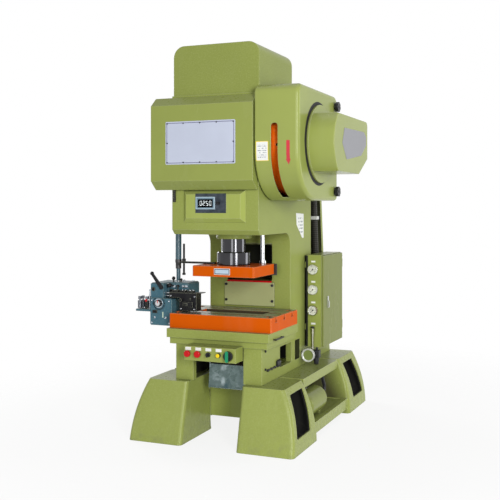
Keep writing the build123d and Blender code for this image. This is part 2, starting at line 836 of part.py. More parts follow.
# Arm on the slide that carries the rod releasing the feeder's grip
with BuildPart() as slide_arm:
    box_between(
        (arm_rod_x - 16, crank_y - 17, slide_top_z),
        (arm_right_x, crank_y + 17, slide_top_z + 12),
    )
    rod_along_z(arm_rod_x, crank_y, arm_rod_low_z, arm_rod_high_z, 7)
    rod_along_z(arm_rod_x, crank_y, slide_top_z + 12, slide_top_z + 30, 13)
    rod_along_z(arm_rod_x, crank_y, arm_rod_low_z, arm_rod_low_z + 14, 11)
    chamfer(slide_arm.edges().filter_by(GeomType.CIRCLE).sort_by(Axis.Z)[-1], 2)
keep(slide_arm, "slide_arm")

# Head covers: chamfered front cover, name plate, instrument panel and rounded top cover
with BuildPart() as front_cover:
    with BuildSketch(Plane.YZ.offset(front_cover_left_x)):
        Polygon(
            (head_front_y, front_cover_low_z),
            (front_cover_face_y + front_cover_chamfer, front_cover_low_z),
            (front_cover_face_y, front_cover_low_z + front_cover_chamfer_height),
            (front_cover_face_y, front_cover_high_z - front_cover_chamfer_height),
            (front_cover_face_y + front_cover_chamfer, front_cover_high_z),
            (head_front_y, front_cover_high_z),
            align=None,
        )
    extrude(amount=body_half_x - front_cover_left_x - 3)
    back_face = front_cover.faces().sort_by(Axis.Y)[-1]
    offset(amount=-sheet, openings=back_face)
keep(front_cover, "front_cover")

with BuildPart() as bare_plates:
    box_between(
        (name_plate_left_x, front_cover_face_y - plate_thickness, name_plate_low_z),
        (name_plate_right_x, front_cover_face_y, name_plate_high_z),
    )
    fillet(bare_plates.edges().filter_by(Axis.Y), 8)
    for x in button_places[:4]:
        box_between((x - 20, box_front_y - 1, box_high_z - 25), (x + 20, box_front_y, box_high_z - 6))
    for z in gauge_heights:
        box_between(
            (gauge_x - 15, cabinet_front_y - 1, z + gauge_radius + 12),
            (gauge_x + 15, cabinet_front_y, z + gauge_radius + 24),
        )
keep(bare_plates, "bare_plates")

with BuildPart() as instrument_panel:
    box_between(
        (-panel_half_x, head_front_y - panel_rise, panel_low_z),
        (panel_half_x, head_front_y, panel_high_z),
    )
    chamfer(instrument_panel.faces().sort_by(Axis.Y)[0].edges(), panel_rise - 1)
    left_x, right_x, low_z, high_z = display_plate
    box_between((left_x, display_plate_y, low_z), (right_x, display_plate_y + display_plate_rise, high_z))
    left_x, right_x, low_z, high_z = display_unit
    box_between((left_x, display_unit_y, low_z), (right_x, display_plate_y, high_z))
    left_x, right_x, low_z, high_z = display_window
    box_between(
        (left_x - 0.2, display_unit_y - 1, low_z - 0.2),
        (right_x + 0.2, display_unit_y + display_recess, high_z + 0.2),
        mode=Mode.SUBTRACT,
    )
    rod_along_y(
        knob_x, display_plate_y - 1, display_plate_y + 4, knob_z,
        display_shaft_radius + pivot_clearance, mode=Mode.SUBTRACT,
    )
keep(instrument_panel, "instrument_panel")

with BuildPart() as clear_windows:
    left_x, right_x, low_z, high_z = display_window
    box_between(
        (left_x, display_unit_y + 0.2, low_z),
        (right_x, display_unit_y + display_recess, high_z),
    )
    for z in gauge_heights:
        rod_along_y(
            gauge_x, cabinet_front_y - gauge_depth + 0.6, cabinet_front_y - gauge_depth + 2.6, z,
            gauge_radius - gauge_rim - 0.2,
        )
keep(clear_windows, "clear_windows")

with BuildPart() as display_knob:
    rod_along_y(knob_x, display_plate_y - part_gap, display_plate_y + 3.5, knob_z, display_shaft_radius)
    rod_along_y(knob_x, display_plate_y - 15, display_plate_y - part_gap, knob_z, 10)
    box_between(
        (knob_x - 2.5, display_plate_y - 18, knob_z - 9),
        (knob_x + 2.5, display_plate_y - 14, knob_z + 9),
    )
keep(display_knob, "display_knob")

with BuildPart() as top_cover:
    with BuildSketch(Plane.XZ.offset(-top_cover_back_y)) as hood:
        with Locations((0, (head_top_z + top_cover_top_z) / 2)):
            Rectangle(2 * top_cover_half_x, top_cover_top_z - head_top_z)
        fillet(hood.vertices().group_by(Axis.Y)[-1], top_cover_radius)
    extrude(amount=top_cover_back_y - top_cover_front_y)
    offset(amount=-sheet, openings=top_cover.faces().sort_by(Axis.Z)[0])
    round_edges = top_cover.edges().filter_by(GeomType.CIRCLE)
    fillet(round_edges.filter_by(lambda e: e.radius > top_cover_radius - 1), 3)
keep(top_cover, "top_cover")

# Flywheel: heavy rim, web and long hub in one casting, with barring holes in the rim
rim_middle_x = flywheel_left_x + flywheel_width / 2
with BuildPart() as flywheel:
    rod_along_x(flywheel_left_x, flywheel_left_x + flywheel_width, crank_y, crank_z, flywheel_radius)
    rod_along_x(
        flywheel_left_x - 1, flywheel_left_x + flywheel_width + 1, crank_y, crank_z,
        flywheel_radius - flywheel_rim, mode=Mode.SUBTRACT,
    )
    rod_along_x(
        rim_middle_x - flywheel_web / 2, rim_middle_x + flywheel_web / 2, crank_y, crank_z,
        flywheel_radius - flywheel_rim + 1,
    )
    rod_along_x(hub_left_x, hub_right_x, crank_y, crank_z, hub_radius)
    rod_along_x(
        hub_left_x - 1, hub_right_x + 1, crank_y, crank_z,
        shaft_radius + running_clearance, mode=Mode.SUBTRACT,
    )
    rim_edges = flywheel.edges().filter_by(GeomType.CIRCLE)
    chamfer(rim_edges.filter_by(lambda e: e.radius > flywheel_radius - 1), 5)
    with Locations(Location((rim_middle_x, crank_y, crank_z), (0, -90, 0))):
        with PolarLocations(0, 6, start_angle=barring_hole_turn):
            with Locations(Location((flywheel_radius - barring_hole_depth / 3, 0, 0), (0, 90, 0))):
                Cylinder(barring_hole_radius, barring_hole_depth, mode=Mode.SUBTRACT)
keep(flywheel, "flywheel")

with BuildPart() as flywheel_pulley:
    pulley_left_x = hub_right_x
    rod_along_x(pulley_left_x, pulley_left_x + pulley_width, crank_y, crank_z, pulley_radius)
    rod_along_x(
        pulley_left_x + pulley_recess, pulley_left_x + pulley_width + 1, crank_y, crank_z,
        pulley_radius - pulley_rim, mode=Mode.SUBTRACT,
    )
    rod_along_x(pulley_left_x, pulley_left_x + pulley_width, crank_y, crank_z, hub_radius - 8)
    rod_along_x(
        pulley_left_x - 1, pulley_left_x + pulley_width + 1, crank_y, crank_z,
        shaft_radius + running_clearance, mode=Mode.SUBTRACT,
    )
keep(flywheel_pulley, "flywheel_pulley")

with BuildPart() as clutch_disc:
    rod_along_x(body_half_x + 9, hub_left_x - 2, crank_y, crank_z, clutch_radius)
    rod_along_x(
        body_half_x + 8, hub_left_x - 1, crank_y, crank_z,
        shaft_radius + press_clearance, mode=Mode.SUBTRACT,
    )
keep(clutch_disc, "clutch_disc")

# Flywheel guard: pressed sheet with a sight slot, a round hole and a notch for the motor

def draw_guard_outline(inset):
    """The guard's outline seen from the right, drawn in by an inset, in the sketch that is being drawn."""
    low_y, high_y = guard_front_y + inset, guard_back_y - inset
    low_z, high_z = guard_bottom_z + inset, guard_top_z - inset
    outline = Polygon((low_y, low_z), (high_y, low_z), (high_y, high_z), (low_y, high_z), align=None)
    for y, z, radius in (
        (low_y, low_z, guard_low_radius),
        (high_y, low_z, guard_heel_radius),
        (high_y, high_z, guard_top_radius),
        (low_y, high_z, guard_top_radius),
    ):
        corner = outline.vertices().sort_by_distance((y, z, 0))[0]
        outline = fillet(corner, radius - inset)


def build_guard_form(inset):
    """The guard's outside, or its inside when drawn in by the sheet's thickness."""
    with BuildPart() as form:
        with BuildSketch(Plane.YZ.offset(body_half_x + inset)):
            draw_guard_outline(inset)
        extrude(amount=guard_right_x - body_half_x - 2 * inset)
        fillet(form.faces().sort_by(Axis.X)[-1].edges(), guard_edge_radius - inset)
        fillet(form.faces().sort_by(Axis.X)[0].edges(), guard_rim_radius - inset)
    return form.part


guard_outside = build_guard_form(0)
guard_inside = build_guard_form(sheet)
with BuildPart() as flywheel_guard:
    add(guard_outside)
    add(guard_inside, mode=Mode.SUBTRACT)
    with BuildSketch(Plane.YZ.offset(body_half_x - 1)):
        draw_guard_outline(guard_rim_radius + 2)
    extrude(amount=sheet + 2, mode=Mode.SUBTRACT)
    with BuildSketch(Plane.XZ.offset(-guard_front_y + 1)) as sight_slot:
        with Locations(((slot_left_x + slot_right_x) / 2, (slot_top_z + guard_bottom_z - 30) / 2)):
            Rectangle(slot_right_x - slot_left_x, slot_top_z - guard_bottom_z + 30)
        fillet(sight_slot.vertices().group_by(Axis.Y)[-1], slot_radius)
    extrude(amount=-(guard_low_radius * 0.68), mode=Mode.SUBTRACT)
    rod_along_x(
        guard_right_x - guard_lip, guard_right_x + 1, crank_y, crank_z, ring_radius,
        mode=Mode.SUBTRACT,
    )
    box_between(
        (body_half_x - 1, motor_y - motor_radius - 8, motor_z - motor_radius - 34),
        (guard_right_x - guard_lip, guard_back_y + 1, motor_z + motor_radius + guard_lip),
        mode=Mode.SUBTRACT,
    )
    for z in (guard_knob_low_z, guard_knob_high_z):
        rod_along_x(
            guard_right_x - guard_lip, guard_right_x + 1, guard_knob_y, z,
            knob_stem_radius + pivot_clearance, mode=Mode.SUBTRACT,
        )
keep(flywheel_guard, "flywheel_guard")

with BuildPart() as guard_seal:
    rod_along_x(guard_right_x - sheet - 6, guard_right_x - sheet, crank_y, crank_z, ring_radius + 12)
    rod_along_x(guard_right_x - sheet, guard_right_x, crank_y, crank_z, ring_radius - part_gap)
    rod_along_x(
        guard_right_x - sheet - 7, guard_right_x + 1, crank_y, crank_z,
        cover_radius - 24, mode=Mode.SUBTRACT,
    )
keep(guard_seal, "guard_seal")

for z, name in ((guard_knob_low_z, "guard_knob_lower"), (guard_knob_high_z, "guard_knob_upper")):
    with BuildPart() as guard_knob:
        rod_along_x(guard_right_x - 16, guard_right_x + part_gap, guard_knob_y, z, knob_stem_radius)
        rod_along_x(guard_right_x + part_gap, guard_right_x + 8, guard_knob_y, z, knob_radius * 0.55)
        rod_along_x(guard_right_x + 8, guard_right_x + 30, guard_knob_y, z, knob_radius)
        with Locations(Location((guard_right_x + 19, guard_knob_y, z), (0, 90, 0))):
            with PolarLocations(knob_radius + 6, 7):
                Cylinder(10, 24, mode=Mode.SUBTRACT)
        rod_along_x(guard_right_x + 30, guard_right_x + 33, guard_knob_y, z, 8)
    keep(guard_knob, name)

# Belt guard: round over the large pulley, tapering back over the small one
flat_start_y = crank_y - sqrt(cover_radius**2 - cover_half_height**2)
with BuildPart() as belt_guard:
    with BuildSketch(Plane.YZ.offset(guard_right_x)) as belt_outline:
        with BuildLine():
            upper = Polyline(
                (flat_start_y, crank_z + cover_half_height),
                (cover_back_y, crank_z + cover_half_height),
                (cover_back_y, cover_back_low_z),
                (cover_taper_y, crank_z - cover_half_height - 4),
                (flat_start_y, crank_z - cover_half_height),
            )
            ThreePointArc(upper @ 1, (crank_y - cover_radius, crank_z), upper @ 0)
        make_face()
        corners = belt_outline.vertices()
        fillet(corners.sort_by_distance((cover_back_y, crank_z + cover_half_height, 0))[0], 34)
    extrude(amount=cover_right_x - guard_right_x)
    fillet(belt_guard.faces().sort_by(Axis.X)[-1].edges(), 6)
    offset(amount=-sheet, openings=belt_guard.faces().sort_by(Axis.X)[0])
    with BuildSketch(Plane.YZ.offset(guard_right_x)) as collar_outline:
        with Locations((collar_y, crank_z)):
            Circle(collar_radius)
        add(belt_outline.sketch_local, mode=Mode.SUBTRACT)
    extrude(amount=collar_thickness)
    with BuildSketch(Plane.YZ.offset(cover_right_x)) as plate_outline:
        Polygon(*((crank_y + y, crank_z + z) for y, z in belt_plate_corners), align=None)
        fillet(plate_outline.vertices(), 12)
    extrude(amount=belt_plate_thickness)
keep(belt_guard, "belt_guard")

# Belt, motor and motor pulley
with BuildPart() as drive_belt:
    with BuildSketch(Plane.YZ.offset(hub_right_x + 4)) as belt_outer:
        with Locations((crank_y, crank_z)):
            Circle(pulley_radius + part_gap + belt_thickness)
        with Locations((motor_y, motor_z)):
            Circle(motor_pulley_radius + part_gap + belt_thickness)
        make_hull()
    extrude(amount=pulley_width - 8)
    with BuildSketch(Plane.YZ.offset(hub_right_x + 3)) as belt_inner:
        with Locations((crank_y, crank_z)):
            Circle(pulley_radius + part_gap)
        with Locations((motor_y, motor_z)):
            Circle(motor_pulley_radius + part_gap)
        make_hull()
    extrude(amount=pulley_width - 6, mode=Mode.SUBTRACT)
keep(drive_belt, "drive_belt")

with BuildPart() as motor:
    rod_along_x(body_half_x + 34, motor_end_x - 12, motor_y, motor_z, motor_radius - 10)
    rod_along_x(body_half_x + 12, body_half_x + 60, motor_y, motor_z, motor_radius)
    rod_along_x(motor_end_x - 30, motor_end_x, motor_y, motor_z, motor_radius - 4)
    fin_x = (body_half_x + 60 + motor_end_x - 30) / 2
    with Locations(Location((fin_x, motor_y, motor_z), (0, 90, 0))):
        with PolarLocations(motor_radius - 12, 18):
            Box(10, 4, motor_end_x - body_half_x - 86)
    for x in (body_half_x + 90, motor_end_x - 60):
        box_between(
            (x - 16, motor_y - 62, motor_z - motor_radius - 12),
            (x + 16, motor_y + 62, motor_z - motor_radius + 24),
        )
    rod_along_x(
        motor_end_x - 30, motor_end_x + 1, motor_y, motor_z,
        motor_shaft_radius + running_clearance, mode=Mode.SUBTRACT,
    )
    box_between(
        (body_half_x, motor_y - 68, motor_z - motor_radius - 24),
        (motor_end_x - 30, motor_y + 90, motor_z - motor_radius - 12),
    )
    with BuildSketch(Plane.XZ.offset(-(motor_y + 90))):
        Polygon(
            (body_half_x, motor_z - motor_radius - 24),
            (motor_end_x - 60, motor_z - motor_radius - 24),
            (body_half_x, motor_z - motor_radius - motor_bracket_drop),
            align=None,
        )
    extrude(amount=12)
keep(motor, "motor")

with BuildPart() as motor_rotor:
    rod_along_x(motor_end_x - 28, hub_right_x + pulley_width + 4, motor_y, motor_z, motor_shaft_radius)
    rod_along_x(hub_right_x, hub_right_x + pulley_width, motor_y, motor_z, motor_pulley_radius)
keep(motor_rotor, "motor_rotor")

# Control box between the piers, with labels, bezels and five controls
with BuildPart() as control_box:
    box_between((-box_half_x, box_front_y, box_low_z), (box_half_x, step_front_y, box_high_z))
    fillet(control_box.faces().sort_by(Axis.Y)[0].edges().filter_by(Axis.X), 4)
    offset(amount=-box_sheet, openings=control_box.faces().sort_by(Axis.Y)[-1])
    for x in button_places:
        rod_along_y(x, box_front_y - 1, box_front_y + 3, button_z, 11, mode=Mode.SUBTRACT)
    box_between((-120, step_front_y, step_bottom_z - 14), (120, bed_front_y + 14, step_bottom_z))
keep(control_box, "control_box")

with BuildPart() as button_bezels:
    for x in button_places:
        rod_along_y(x, box_front_y - bezel_rise, box_front_y, button_z, bezel_radius)
        rod_along_y(x, box_front_y, box_front_y + 24, button_z, bezel_shank_radius)
        rod_along_y(x, box_front_y - 7, box_front_y + 25, button_z, button_stem_radius, mode=Mode.SUBTRACT)
keep(button_bezels, "button_bezels")


def push_button(name, x, cap_radius, cap_height):
    """A button's cap and stem, clear of its bezel by more than its travel."""
    cap_back_y = box_front_y - bezel_rise - button_travel - 1.5
    with BuildPart() as button:
        rod_along_y(
            x, cap_back_y, box_front_y + button_stem_depth, button_z,
            button_stem_radius - pivot_clearance,
        )
        rod_along_y(x, cap_back_y - cap_height, cap_back_y, button_z, cap_radius)
        front_rim = button.edges().filter_by(GeomType.CIRCLE).sort_by(Axis.Y)[0]
        fillet(front_rim, min(cap_height, cap_radius) * 0.45)
    keep(button, name)


push_button("stop_button_left", button_places[0], 21, 13)
push_button("stop_button_right", button_places[1], 21, 13)
push_button("inching_button", button_places[3], 12.5, 7)

with BuildPart() as selector_knob:
    selector_x = button_places[2]
    bezel_front_y = box_front_y - bezel_rise - part_gap
    rod_along_y(
        selector_x, bezel_front_y, box_front_y + button_stem_depth, button_z,
        button_stem_radius - pivot_clearance,
    )
    rod_along_y(selector_x, box_front_y - 14, bezel_front_y, button_z, 14)
    box_between(
        (selector_x - 4, box_front_y - 26, button_z - 13),
        (selector_x + 4, box_front_y - 14, button_z + 13),
    )
keep(selector_knob, "selector_knob")

with BuildPart() as main_switch_knob:
    switch_x = button_places[4]
    rod_along_y(
        switch_x, bezel_front_y, box_front_y + button_stem_depth, button_z,
        button_stem_radius - pivot_clearance,
    )
    rod_along_y(switch_x, box_front_y - 20, bezel_front_y, button_z, 30)
    with BuildSketch(Plane.XZ.offset(-box_front_y + 20)):
        with Locations((switch_x, button_z)):
            SlotOverall(70, 24, rotation=90)
    extrude(amount=14)
keep(main_switch_knob, "main_switch_knob")

# Air cabinet: sheet box on two rails, hinged door, three gauges and an air valve
with BuildPart() as air_cabinet:
    box_between(
        (cabinet_left_x, cabinet_front_y, cabinet_low_z),
        (cabinet_right_x, cabinet_back_y, cabinet_high_z),
    )
    offset(amount=-3, openings=air_cabinet.faces().sort_by(Axis.X)[-1])
    for z in (cabinet_low_z + 120, cabinet_high_z - 90):
        box_between(
            (body_half_x, cabinet_front_y + 6, z),
            (cabinet_left_x, rear_y_at(z) - 12, z + 40),
        )
    for z in gauge_heights:
        rod_along_y(gauge_x, cabinet_front_y - 1, cabinet_front_y + 4, z, 16, mode=Mode.SUBTRACT)
    for z in (cabinet_low_z + 80, cabinet_high_z - 110):
        rod_along_z(door_axis_x, door_axis_y, z, z + hinge_length, hinge_radius)
        box_between(
            (door_axis_x - hinge_radius, cabinet_back_y - 3, z),
            (door_axis_x - 3, door_axis_y, z + hinge_length),
        )
keep(air_cabinet, "air_cabinet")

with BuildPart() as cabinet_door:
    box_between(
        (cabinet_right_x + door_gap, cabinet_front_y + door_margin, cabinet_low_z + door_margin),
        (cabinet_right_x + door_thickness, cabinet_back_y - door_margin, cabinet_high_z - door_margin),
    )
    fillet(cabinet_door.faces().sort_by(Axis.X)[-1].edges(), 3)
    offset(amount=-2, openings=cabinet_door.faces().sort_by(Axis.X)[0])
    for z in (cabinet_low_z + 80 + hinge_length + door_gap, cabinet_high_z - 110 + hinge_length + door_gap):
        rod_along_z(door_axis_x, door_axis_y, z, z + hinge_length, hinge_radius)
        box_between(
            (door_axis_x, cabinet_back_y - door_margin - 2, z),
            (door_axis_x + 5, door_axis_y, z + hinge_length),
        )
    rod_along_x(
        cabinet_right_x - 1, cabinet_right_x + door_thickness + 1, handle_y, handle_high_z - 14,
        knob_stem_radius + pivot_clearance, mode=Mode.SUBTRACT,
    )
keep(cabinet_door, "cabinet_door")

with BuildPart() as door_handle:
    handle_left_x = cabinet_right_x + door_thickness + part_gap
    rod_along_x(cabinet_right_x + 4, handle_left_x, handle_y, handle_high_z - 14, knob_stem_radius)
    box_between(
        (handle_left_x, handle_y - 9, handle_low_z),
        (handle_left_x + 9, handle_y + 9, handle_high_z),
    )
    fillet(door_handle.edges().filter_by(Axis.X).filter_by(GeomType.LINE), 7)
    box_between(
        (handle_left_x + 9, handle_y - 6, handle_low_z + 4),
        (handle_left_x + 17, handle_y + 6, handle_low_z + 50),
    )
keep(door_handle, "door_handle")

dial_y = cabinet_front_y - gauge_depth + gauge_dial_depth
with BuildPart() as gauge_cases:
    for z in gauge_heights:
        rod_along_y(gauge_x, cabinet_front_y - gauge_depth, cabinet_front_y, z, gauge_radius)
        rod_along_y(gauge_x, cabinet_front_y, cabinet_front_y + 30, z, 15.8)
        rod_along_y(
            gauge_x, cabinet_front_y - gauge_depth - 1, dial_y, z,
            gauge_radius - gauge_rim, mode=Mode.SUBTRACT,
        )
        rod_along_y(
            gauge_x, dial_y - 1, dial_y + 6, z,
            needle_pin_radius, mode=Mode.SUBTRACT,
        )
keep(gauge_cases, "gauge_cases")

for number, z in enumerate(gauge_heights, start=1):
    with BuildPart() as needle:
        rod_along_y(gauge_x, dial_y - 3, dial_y + 5, z, needle_pin_radius - running_clearance)
        rod_along_y(gauge_x, dial_y - 3, dial_y - 0.8, z, 4.5)
        with BuildSketch(Plane.XZ.offset(-dial_y + 2.8)):
            with Locations(Location((gauge_x, z), needle_angle)):
                Polygon((-6, -2.2), (-6, 2.2), (needle_length, 0.6), (needle_length, -0.6), align=None)
        extrude(amount=-1.4)
    keep(needle, f"gauge_needle_{number}")

with BuildPart() as air_line:
    rod_along_y(gauge_x, valve_y, cabinet_front_y, valve_z, 11)
    rod_along_z(gauge_x, valve_y, valve_z - 26, valve_z + 30, 9)
    rod_along_z(gauge_x, valve_y, valve_z + 18, valve_z + 26, 12)
    rod_along_z(gauge_x, valve_y, valve_z + 6, valve_z + 31, 4 + running_clearance, mode=Mode.SUBTRACT)
    rod_along_z(gauge_x, valve_y, regulator_z + 30, valve_z - 26, 7)
    with BuildLine() as hose_line:
        FilletPolyline(
            (tank_x + hose_aside, tank_back_y + 12, tank_z + hose_above),
            (tank_x + hose_aside, tank_back_y + 112, tank_z + hose_above),
            (tank_x + hose_aside, tank_back_y + 30, deck_bottom_z + 8),
            radius=36,
        )
    with BuildSketch(Plane(origin=hose_line.line @ 0, z_dir=hose_line.line % 0)):
        Circle(hose_radius)
    sweep()
    box_between(
        (tank_x, tank_back_y, deck_bottom_z),
        (tank_x + 2 * hose_aside, tank_back_y + 110, deck_bottom_z + 40),
        mode=Mode.SUBTRACT,
    )
keep(air_line, "air_line")

with BuildPart() as air_valve_knob:
    rod_along_z(gauge_x, valve_y, valve_z + 8, valve_z + 30.3, 4)
    rod_along_z(gauge_x, valve_y, valve_z + 30.3, valve_z + 44, 13)
    chamfer(air_valve_knob.edges().filter_by(GeomType.CIRCLE).sort_by(Axis.Z)[-1], 2)
keep(air_valve_knob, "air_valve_knob")

# Filter regulator under the cabinet with a large gauge in a bright ring
with BuildPart() as filter_regulator:
    box_between(
        (gauge_x - 12, cabinet_front_y - 34, regulator_z - 22),
        (gauge_x + 52, cabinet_front_y + 14, regulator_z + 30),
    )
    fillet(filter_regulator.edges().filter_by(Axis.Z), 8)
    rod_along_z(regulator_axis_x, regulator_axis_y, regulator_z - 46, regulator_z - 22, 19)
    rod_along_z(regulator_axis_x, cabinet_front_y + 2, regulator_z + 30, cabinet_low_z, 9)
    rod_along_y(regulator_x, regulator_y + 6, cabinet_front_y - 34, regulator_z, 12)
    rod_along_z(
        regulator_axis_x, regulator_axis_y, regulator_z - 47, regulator_z - 30,
        small_stem_radius + running_clearance, mode=Mode.SUBTRACT,
    )
    rod_along_y(regulator_x, regulator_y - 20, regulator_y + 6, regulator_z, regulator_radius)
    rod_along_y(
        regulator_x, regulator_y - 21, regulator_y - 10, regulator_z, regulator_radius - 6,
        mode=Mode.SUBTRACT,
    )
keep(filter_regulator, "filter_regulator")

with BuildPart() as regulator_knob:
    rod_along_z(regulator_axis_x, regulator_axis_y, regulator_z - 46.3, regulator_z - 32, small_stem_radius)
    rod_along_z(regulator_axis_x, regulator_axis_y, regulator_z - 66, regulator_z - 46.3, 17)
    with Locations((regulator_axis_x, regulator_axis_y, regulator_z - 56)):
        with PolarLocations(17, 12):
            Cylinder(1.6, 22, mode=Mode.SUBTRACT)
keep(regulator_knob, "regulator_knob")

# Air tank on the right shelf, with a hose from the deck
with BuildPart() as air_tank:
    rod_along_y(tank_x, tank_front_y, tank_back_y, tank_z, tank_radius)
    fillet(air_tank.edges().filter_by(GeomType.CIRCLE), tank_end_radius)
    for y in (tank_front_y + 70, tank_back_y - 70):
        box_between((tank_x - 50, y - 14, shelf_top_z), (tank_x + 50, y + 14, tank_z - tank_radius + 16))
    rod_along_y(tank_x, tank_back_y - 2, tank_back_y + 14, tank_z - drain_drop, 12)
    rod_along_y(
        tank_x, tank_back_y + 4, tank_back_y + 15, tank_z - drain_drop,
        small_stem_radius + running_clearance, mode=Mode.SUBTRACT,
    )
    rod_along_y(
        tank_x + hose_aside, tank_back_y - 2, tank_back_y + 12, tank_z + hose_above, hose_radius + 2,
    )
keep(air_tank, "air_tank")

with BuildPart() as drain_knob:
    rod_along_y(tank_x, tank_back_y + 6, tank_back_y + 14.3, tank_z - drain_drop, small_stem_radius)
    rod_along_y(tank_x, tank_back_y + 14.3, tank_back_y + 30, tank_z - drain_drop, 14)
    box_between(
        (tank_x - 4, tank_back_y + 30, tank_z - drain_drop - 20),
        (tank_x + 4, tank_back_y + 36, tank_z - drain_drop + 20),
    )
keep(drain_knob, "drain_knob")

# Pipe in the column's right channel with a clip, and the scrap chute under the bed
with BuildPart() as conduit:
    with BuildLine() as pipe_line:
        Polyline(
            (conduit_x, rear_y_at(recess_bottom_z) - conduit_inset, recess_bottom_z - 10),
            (conduit_x, rear_mid_y - conduit_inset, rear_mid_z),
            (conduit_x, rear_y_at(recess_top_z) - conduit_inset, recess_top_z + 10),
        )
    with BuildSketch(Plane(origin=pipe_line.line @ 0, z_dir=pipe_line.line % 0)):
        Circle(conduit_radius)
    sweep(transition=Transition.RIGHT)
    box_between((0, 0, recess_bottom_z), (body_half_x, rear_low_y, recess_top_z), mode=Mode.INTERSECT)
    clip_y = rear_y_at(clip_z) - conduit_inset
    box_between(
        (body_half_x - recess_depth, clip_y - conduit_radius - clip_margin, clip_z - 12),
        (conduit_x + conduit_radius + clip_margin, clip_y + conduit_radius + clip_margin, clip_z + 12),
    )
    # Cable duct that comes down from the front cover on the head's left corner
    duct = box_between(
        (cable_left_x, head_front_y - cable_thickness, cable_low_z),
        (cable_right_x, head_front_y, front_cover_low_z - part_gap),
    )
    fillet(duct.edges().filter_by(Axis.Z).group_by(Axis.Y)[0], 6)
keep(conduit, "conduit")

with BuildPart() as scrap_chute:
    with BuildSketch(Plane.YZ.offset(chute_left_x)):
        Polygon(
            (chute_back_y, chute_high_z),
            (chute_front_y, chute_low_z),
            (chute_front_y - chute_lip_reach, chute_lip_z),
            (chute_front_y - chute_lip_reach + sheet, chute_lip_z),
            (chute_front_y + sheet, chute_low_z - sheet),
            (chute_back_y, chute_high_z - sheet),
            align=None,
        )
    extrude(amount=chute_right_x - chute_left_x)
    for x in (chute_left_x, chute_right_x - sheet):
        with BuildSketch(Plane.YZ.offset(x)):
            Polygon(
                (chute_back_y, bed_cavity_top_z),
                (chute_back_y, chute_high_z - sheet),
                (chute_front_y, chute_low_z - sheet),
                (chute_front_y, chute_low_z + 30),
                (chute_front_y + 60, bed_cavity_top_z),
                align=None,
            )
        extrude(amount=sheet)
keep(scrap_chute, "scrap_chute")

# Feeder's drive: gearbox on the crank's left end and an upright shaft down to the feeder
with BuildPart() as takeoff_box:
    box_between(
        (takeoff_left_x, crank_y - takeoff_half_y, takeoff_low_z),
        (-body_half_x, crank_y + takeoff_half_y, takeoff_high_z),
    )
    fillet(takeoff_box.faces().sort_by(Axis.X)[0].edges(), 10)
    offset(amount=-takeoff_wall, openings=takeoff_box.faces().sort_by(Axis.X)[-1])
    rod_along_z(bevel_x, crank_y, takeoff_low_z - 14, takeoff_low_z + 1, feed_shaft_radius + 16)
    rod_along_z(
        bevel_x, crank_y, takeoff_low_z - 15, takeoff_low_z + 9,
        feed_shaft_radius + running_clearance, mode=Mode.SUBTRACT,
    )
keep(takeoff_box, "takeoff_box")

with BuildPart() as feed_shaft:
    rod_along_z(bevel_x, crank_y, feed_shaft_low_z, crank_z - bevel_tip, feed_shaft_radius)
    with Locations((bevel_x, crank_y, crank_z - (bevel_tip + bevel_back) / 2)):
        Cone(bevel_back - bevel_play, bevel_tip - bevel_play, bevel_back - bevel_tip)
    rod_along_z(bevel_x, crank_y, crank_z - bevel_back - 10, crank_z - bevel_back, bevel_back - bevel_play)
    rod_along_z(bevel_x, crank_y, sleeve_low_z, sleeve_high_z, 20)
    rod_along_z(bevel_x, crank_y, sleeve_low_z - 62, sleeve_low_z - 40, 19)
    rod_along_z(bevel_x, crank_y, sleeve_low_z - 22, sleeve_low_z, 22)
    box_between(
        (bevel_x - 14, crank_y - 14, sleeve_low_z - 40),
        (bevel_x + 14, crank_y + 14, sleeve_low_z - 22),
    )
keep(feed_shaft, "feed_shaft")

# Gripper feeder: body on the bolster's left side, carriage on two rods, lever and dial
with BuildPart() as feeder_body:
    box_between(
        (feeder_left_x, feeder_front_y, feeder_low_z),
        (feeder_right_x, feeder_back_y, feeder_high_z),
    )
    fillet(feeder_body.edges().filter_by(Axis.Y), 10)
    box_between(
        (feeder_right_x - 20, feeder_front_y + 40, feeder_low_z),
        (-bolster_half_x, feeder_back_y - 30, bolster_top_z - 8),
    )
    box_between(
        (feeder_left_x - 5, feeder_house_y, feeder_high_z - 1),
        (feeder_house_right_x, feeder_back_y - 20, feeder_top_z),
    )
    box_between(
        (feeder_left_x - 5, feeder_front_y + 15, feeder_high_z - 1),
        (tower_right_x, feeder_house_y + 1, feeder_top_z),
    )
    chamfer(feeder_body.faces().sort_by(Axis.Z)[-1].edges(), 8)
    rod_along_z(
        bevel_x, crank_y, feed_shaft_low_z - 6, feeder_top_z + 1,
        feed_shaft_radius + running_clearance, mode=Mode.SUBTRACT,
    )
    for z in rail_heights:
        rod_along_x(tower_right_x - 1, feeder_rail_end_x, feeder_rail_y, z, feeder_rail_radius)
    rod_along_y(
        dial_x, feeder_front_y - 1, feeder_front_y + 13, dial_z,
        small_stem_radius + pivot_clearance, mode=Mode.SUBTRACT,
    )
    rod_along_y(
        lever_x, feeder_front_y + 14, feeder_front_y + 30, lever_z,
        knob_stem_radius + pivot_clearance, mode=Mode.SUBTRACT,
    )
    # Guide rolls for the strip on the left
    box_between(
        (feeder_left_x - 116, feeder_rail_y - 34, feeder_high_z - 92),
        (feeder_left_x, feeder_rail_y + 34, feeder_high_z - 78),
    )
keep(feeder_body, "feeder_body")

with BuildPart() as feeder_rollers:
    for x in (feeder_left_x - 94, feeder_left_x - 40):
        for y in (feeder_rail_y - 20, feeder_rail_y + 20):
            rod_along_z(x, y, feeder_high_z - 78, feeder_high_z + 4, 5)
            rod_along_z(x, y, feeder_high_z - 72, feeder_high_z - 22, 14)
            rod_along_z(x, y, feeder_high_z - 14, feeder_high_z + 6, 11)
keep(feeder_rollers, "feeder_rollers")

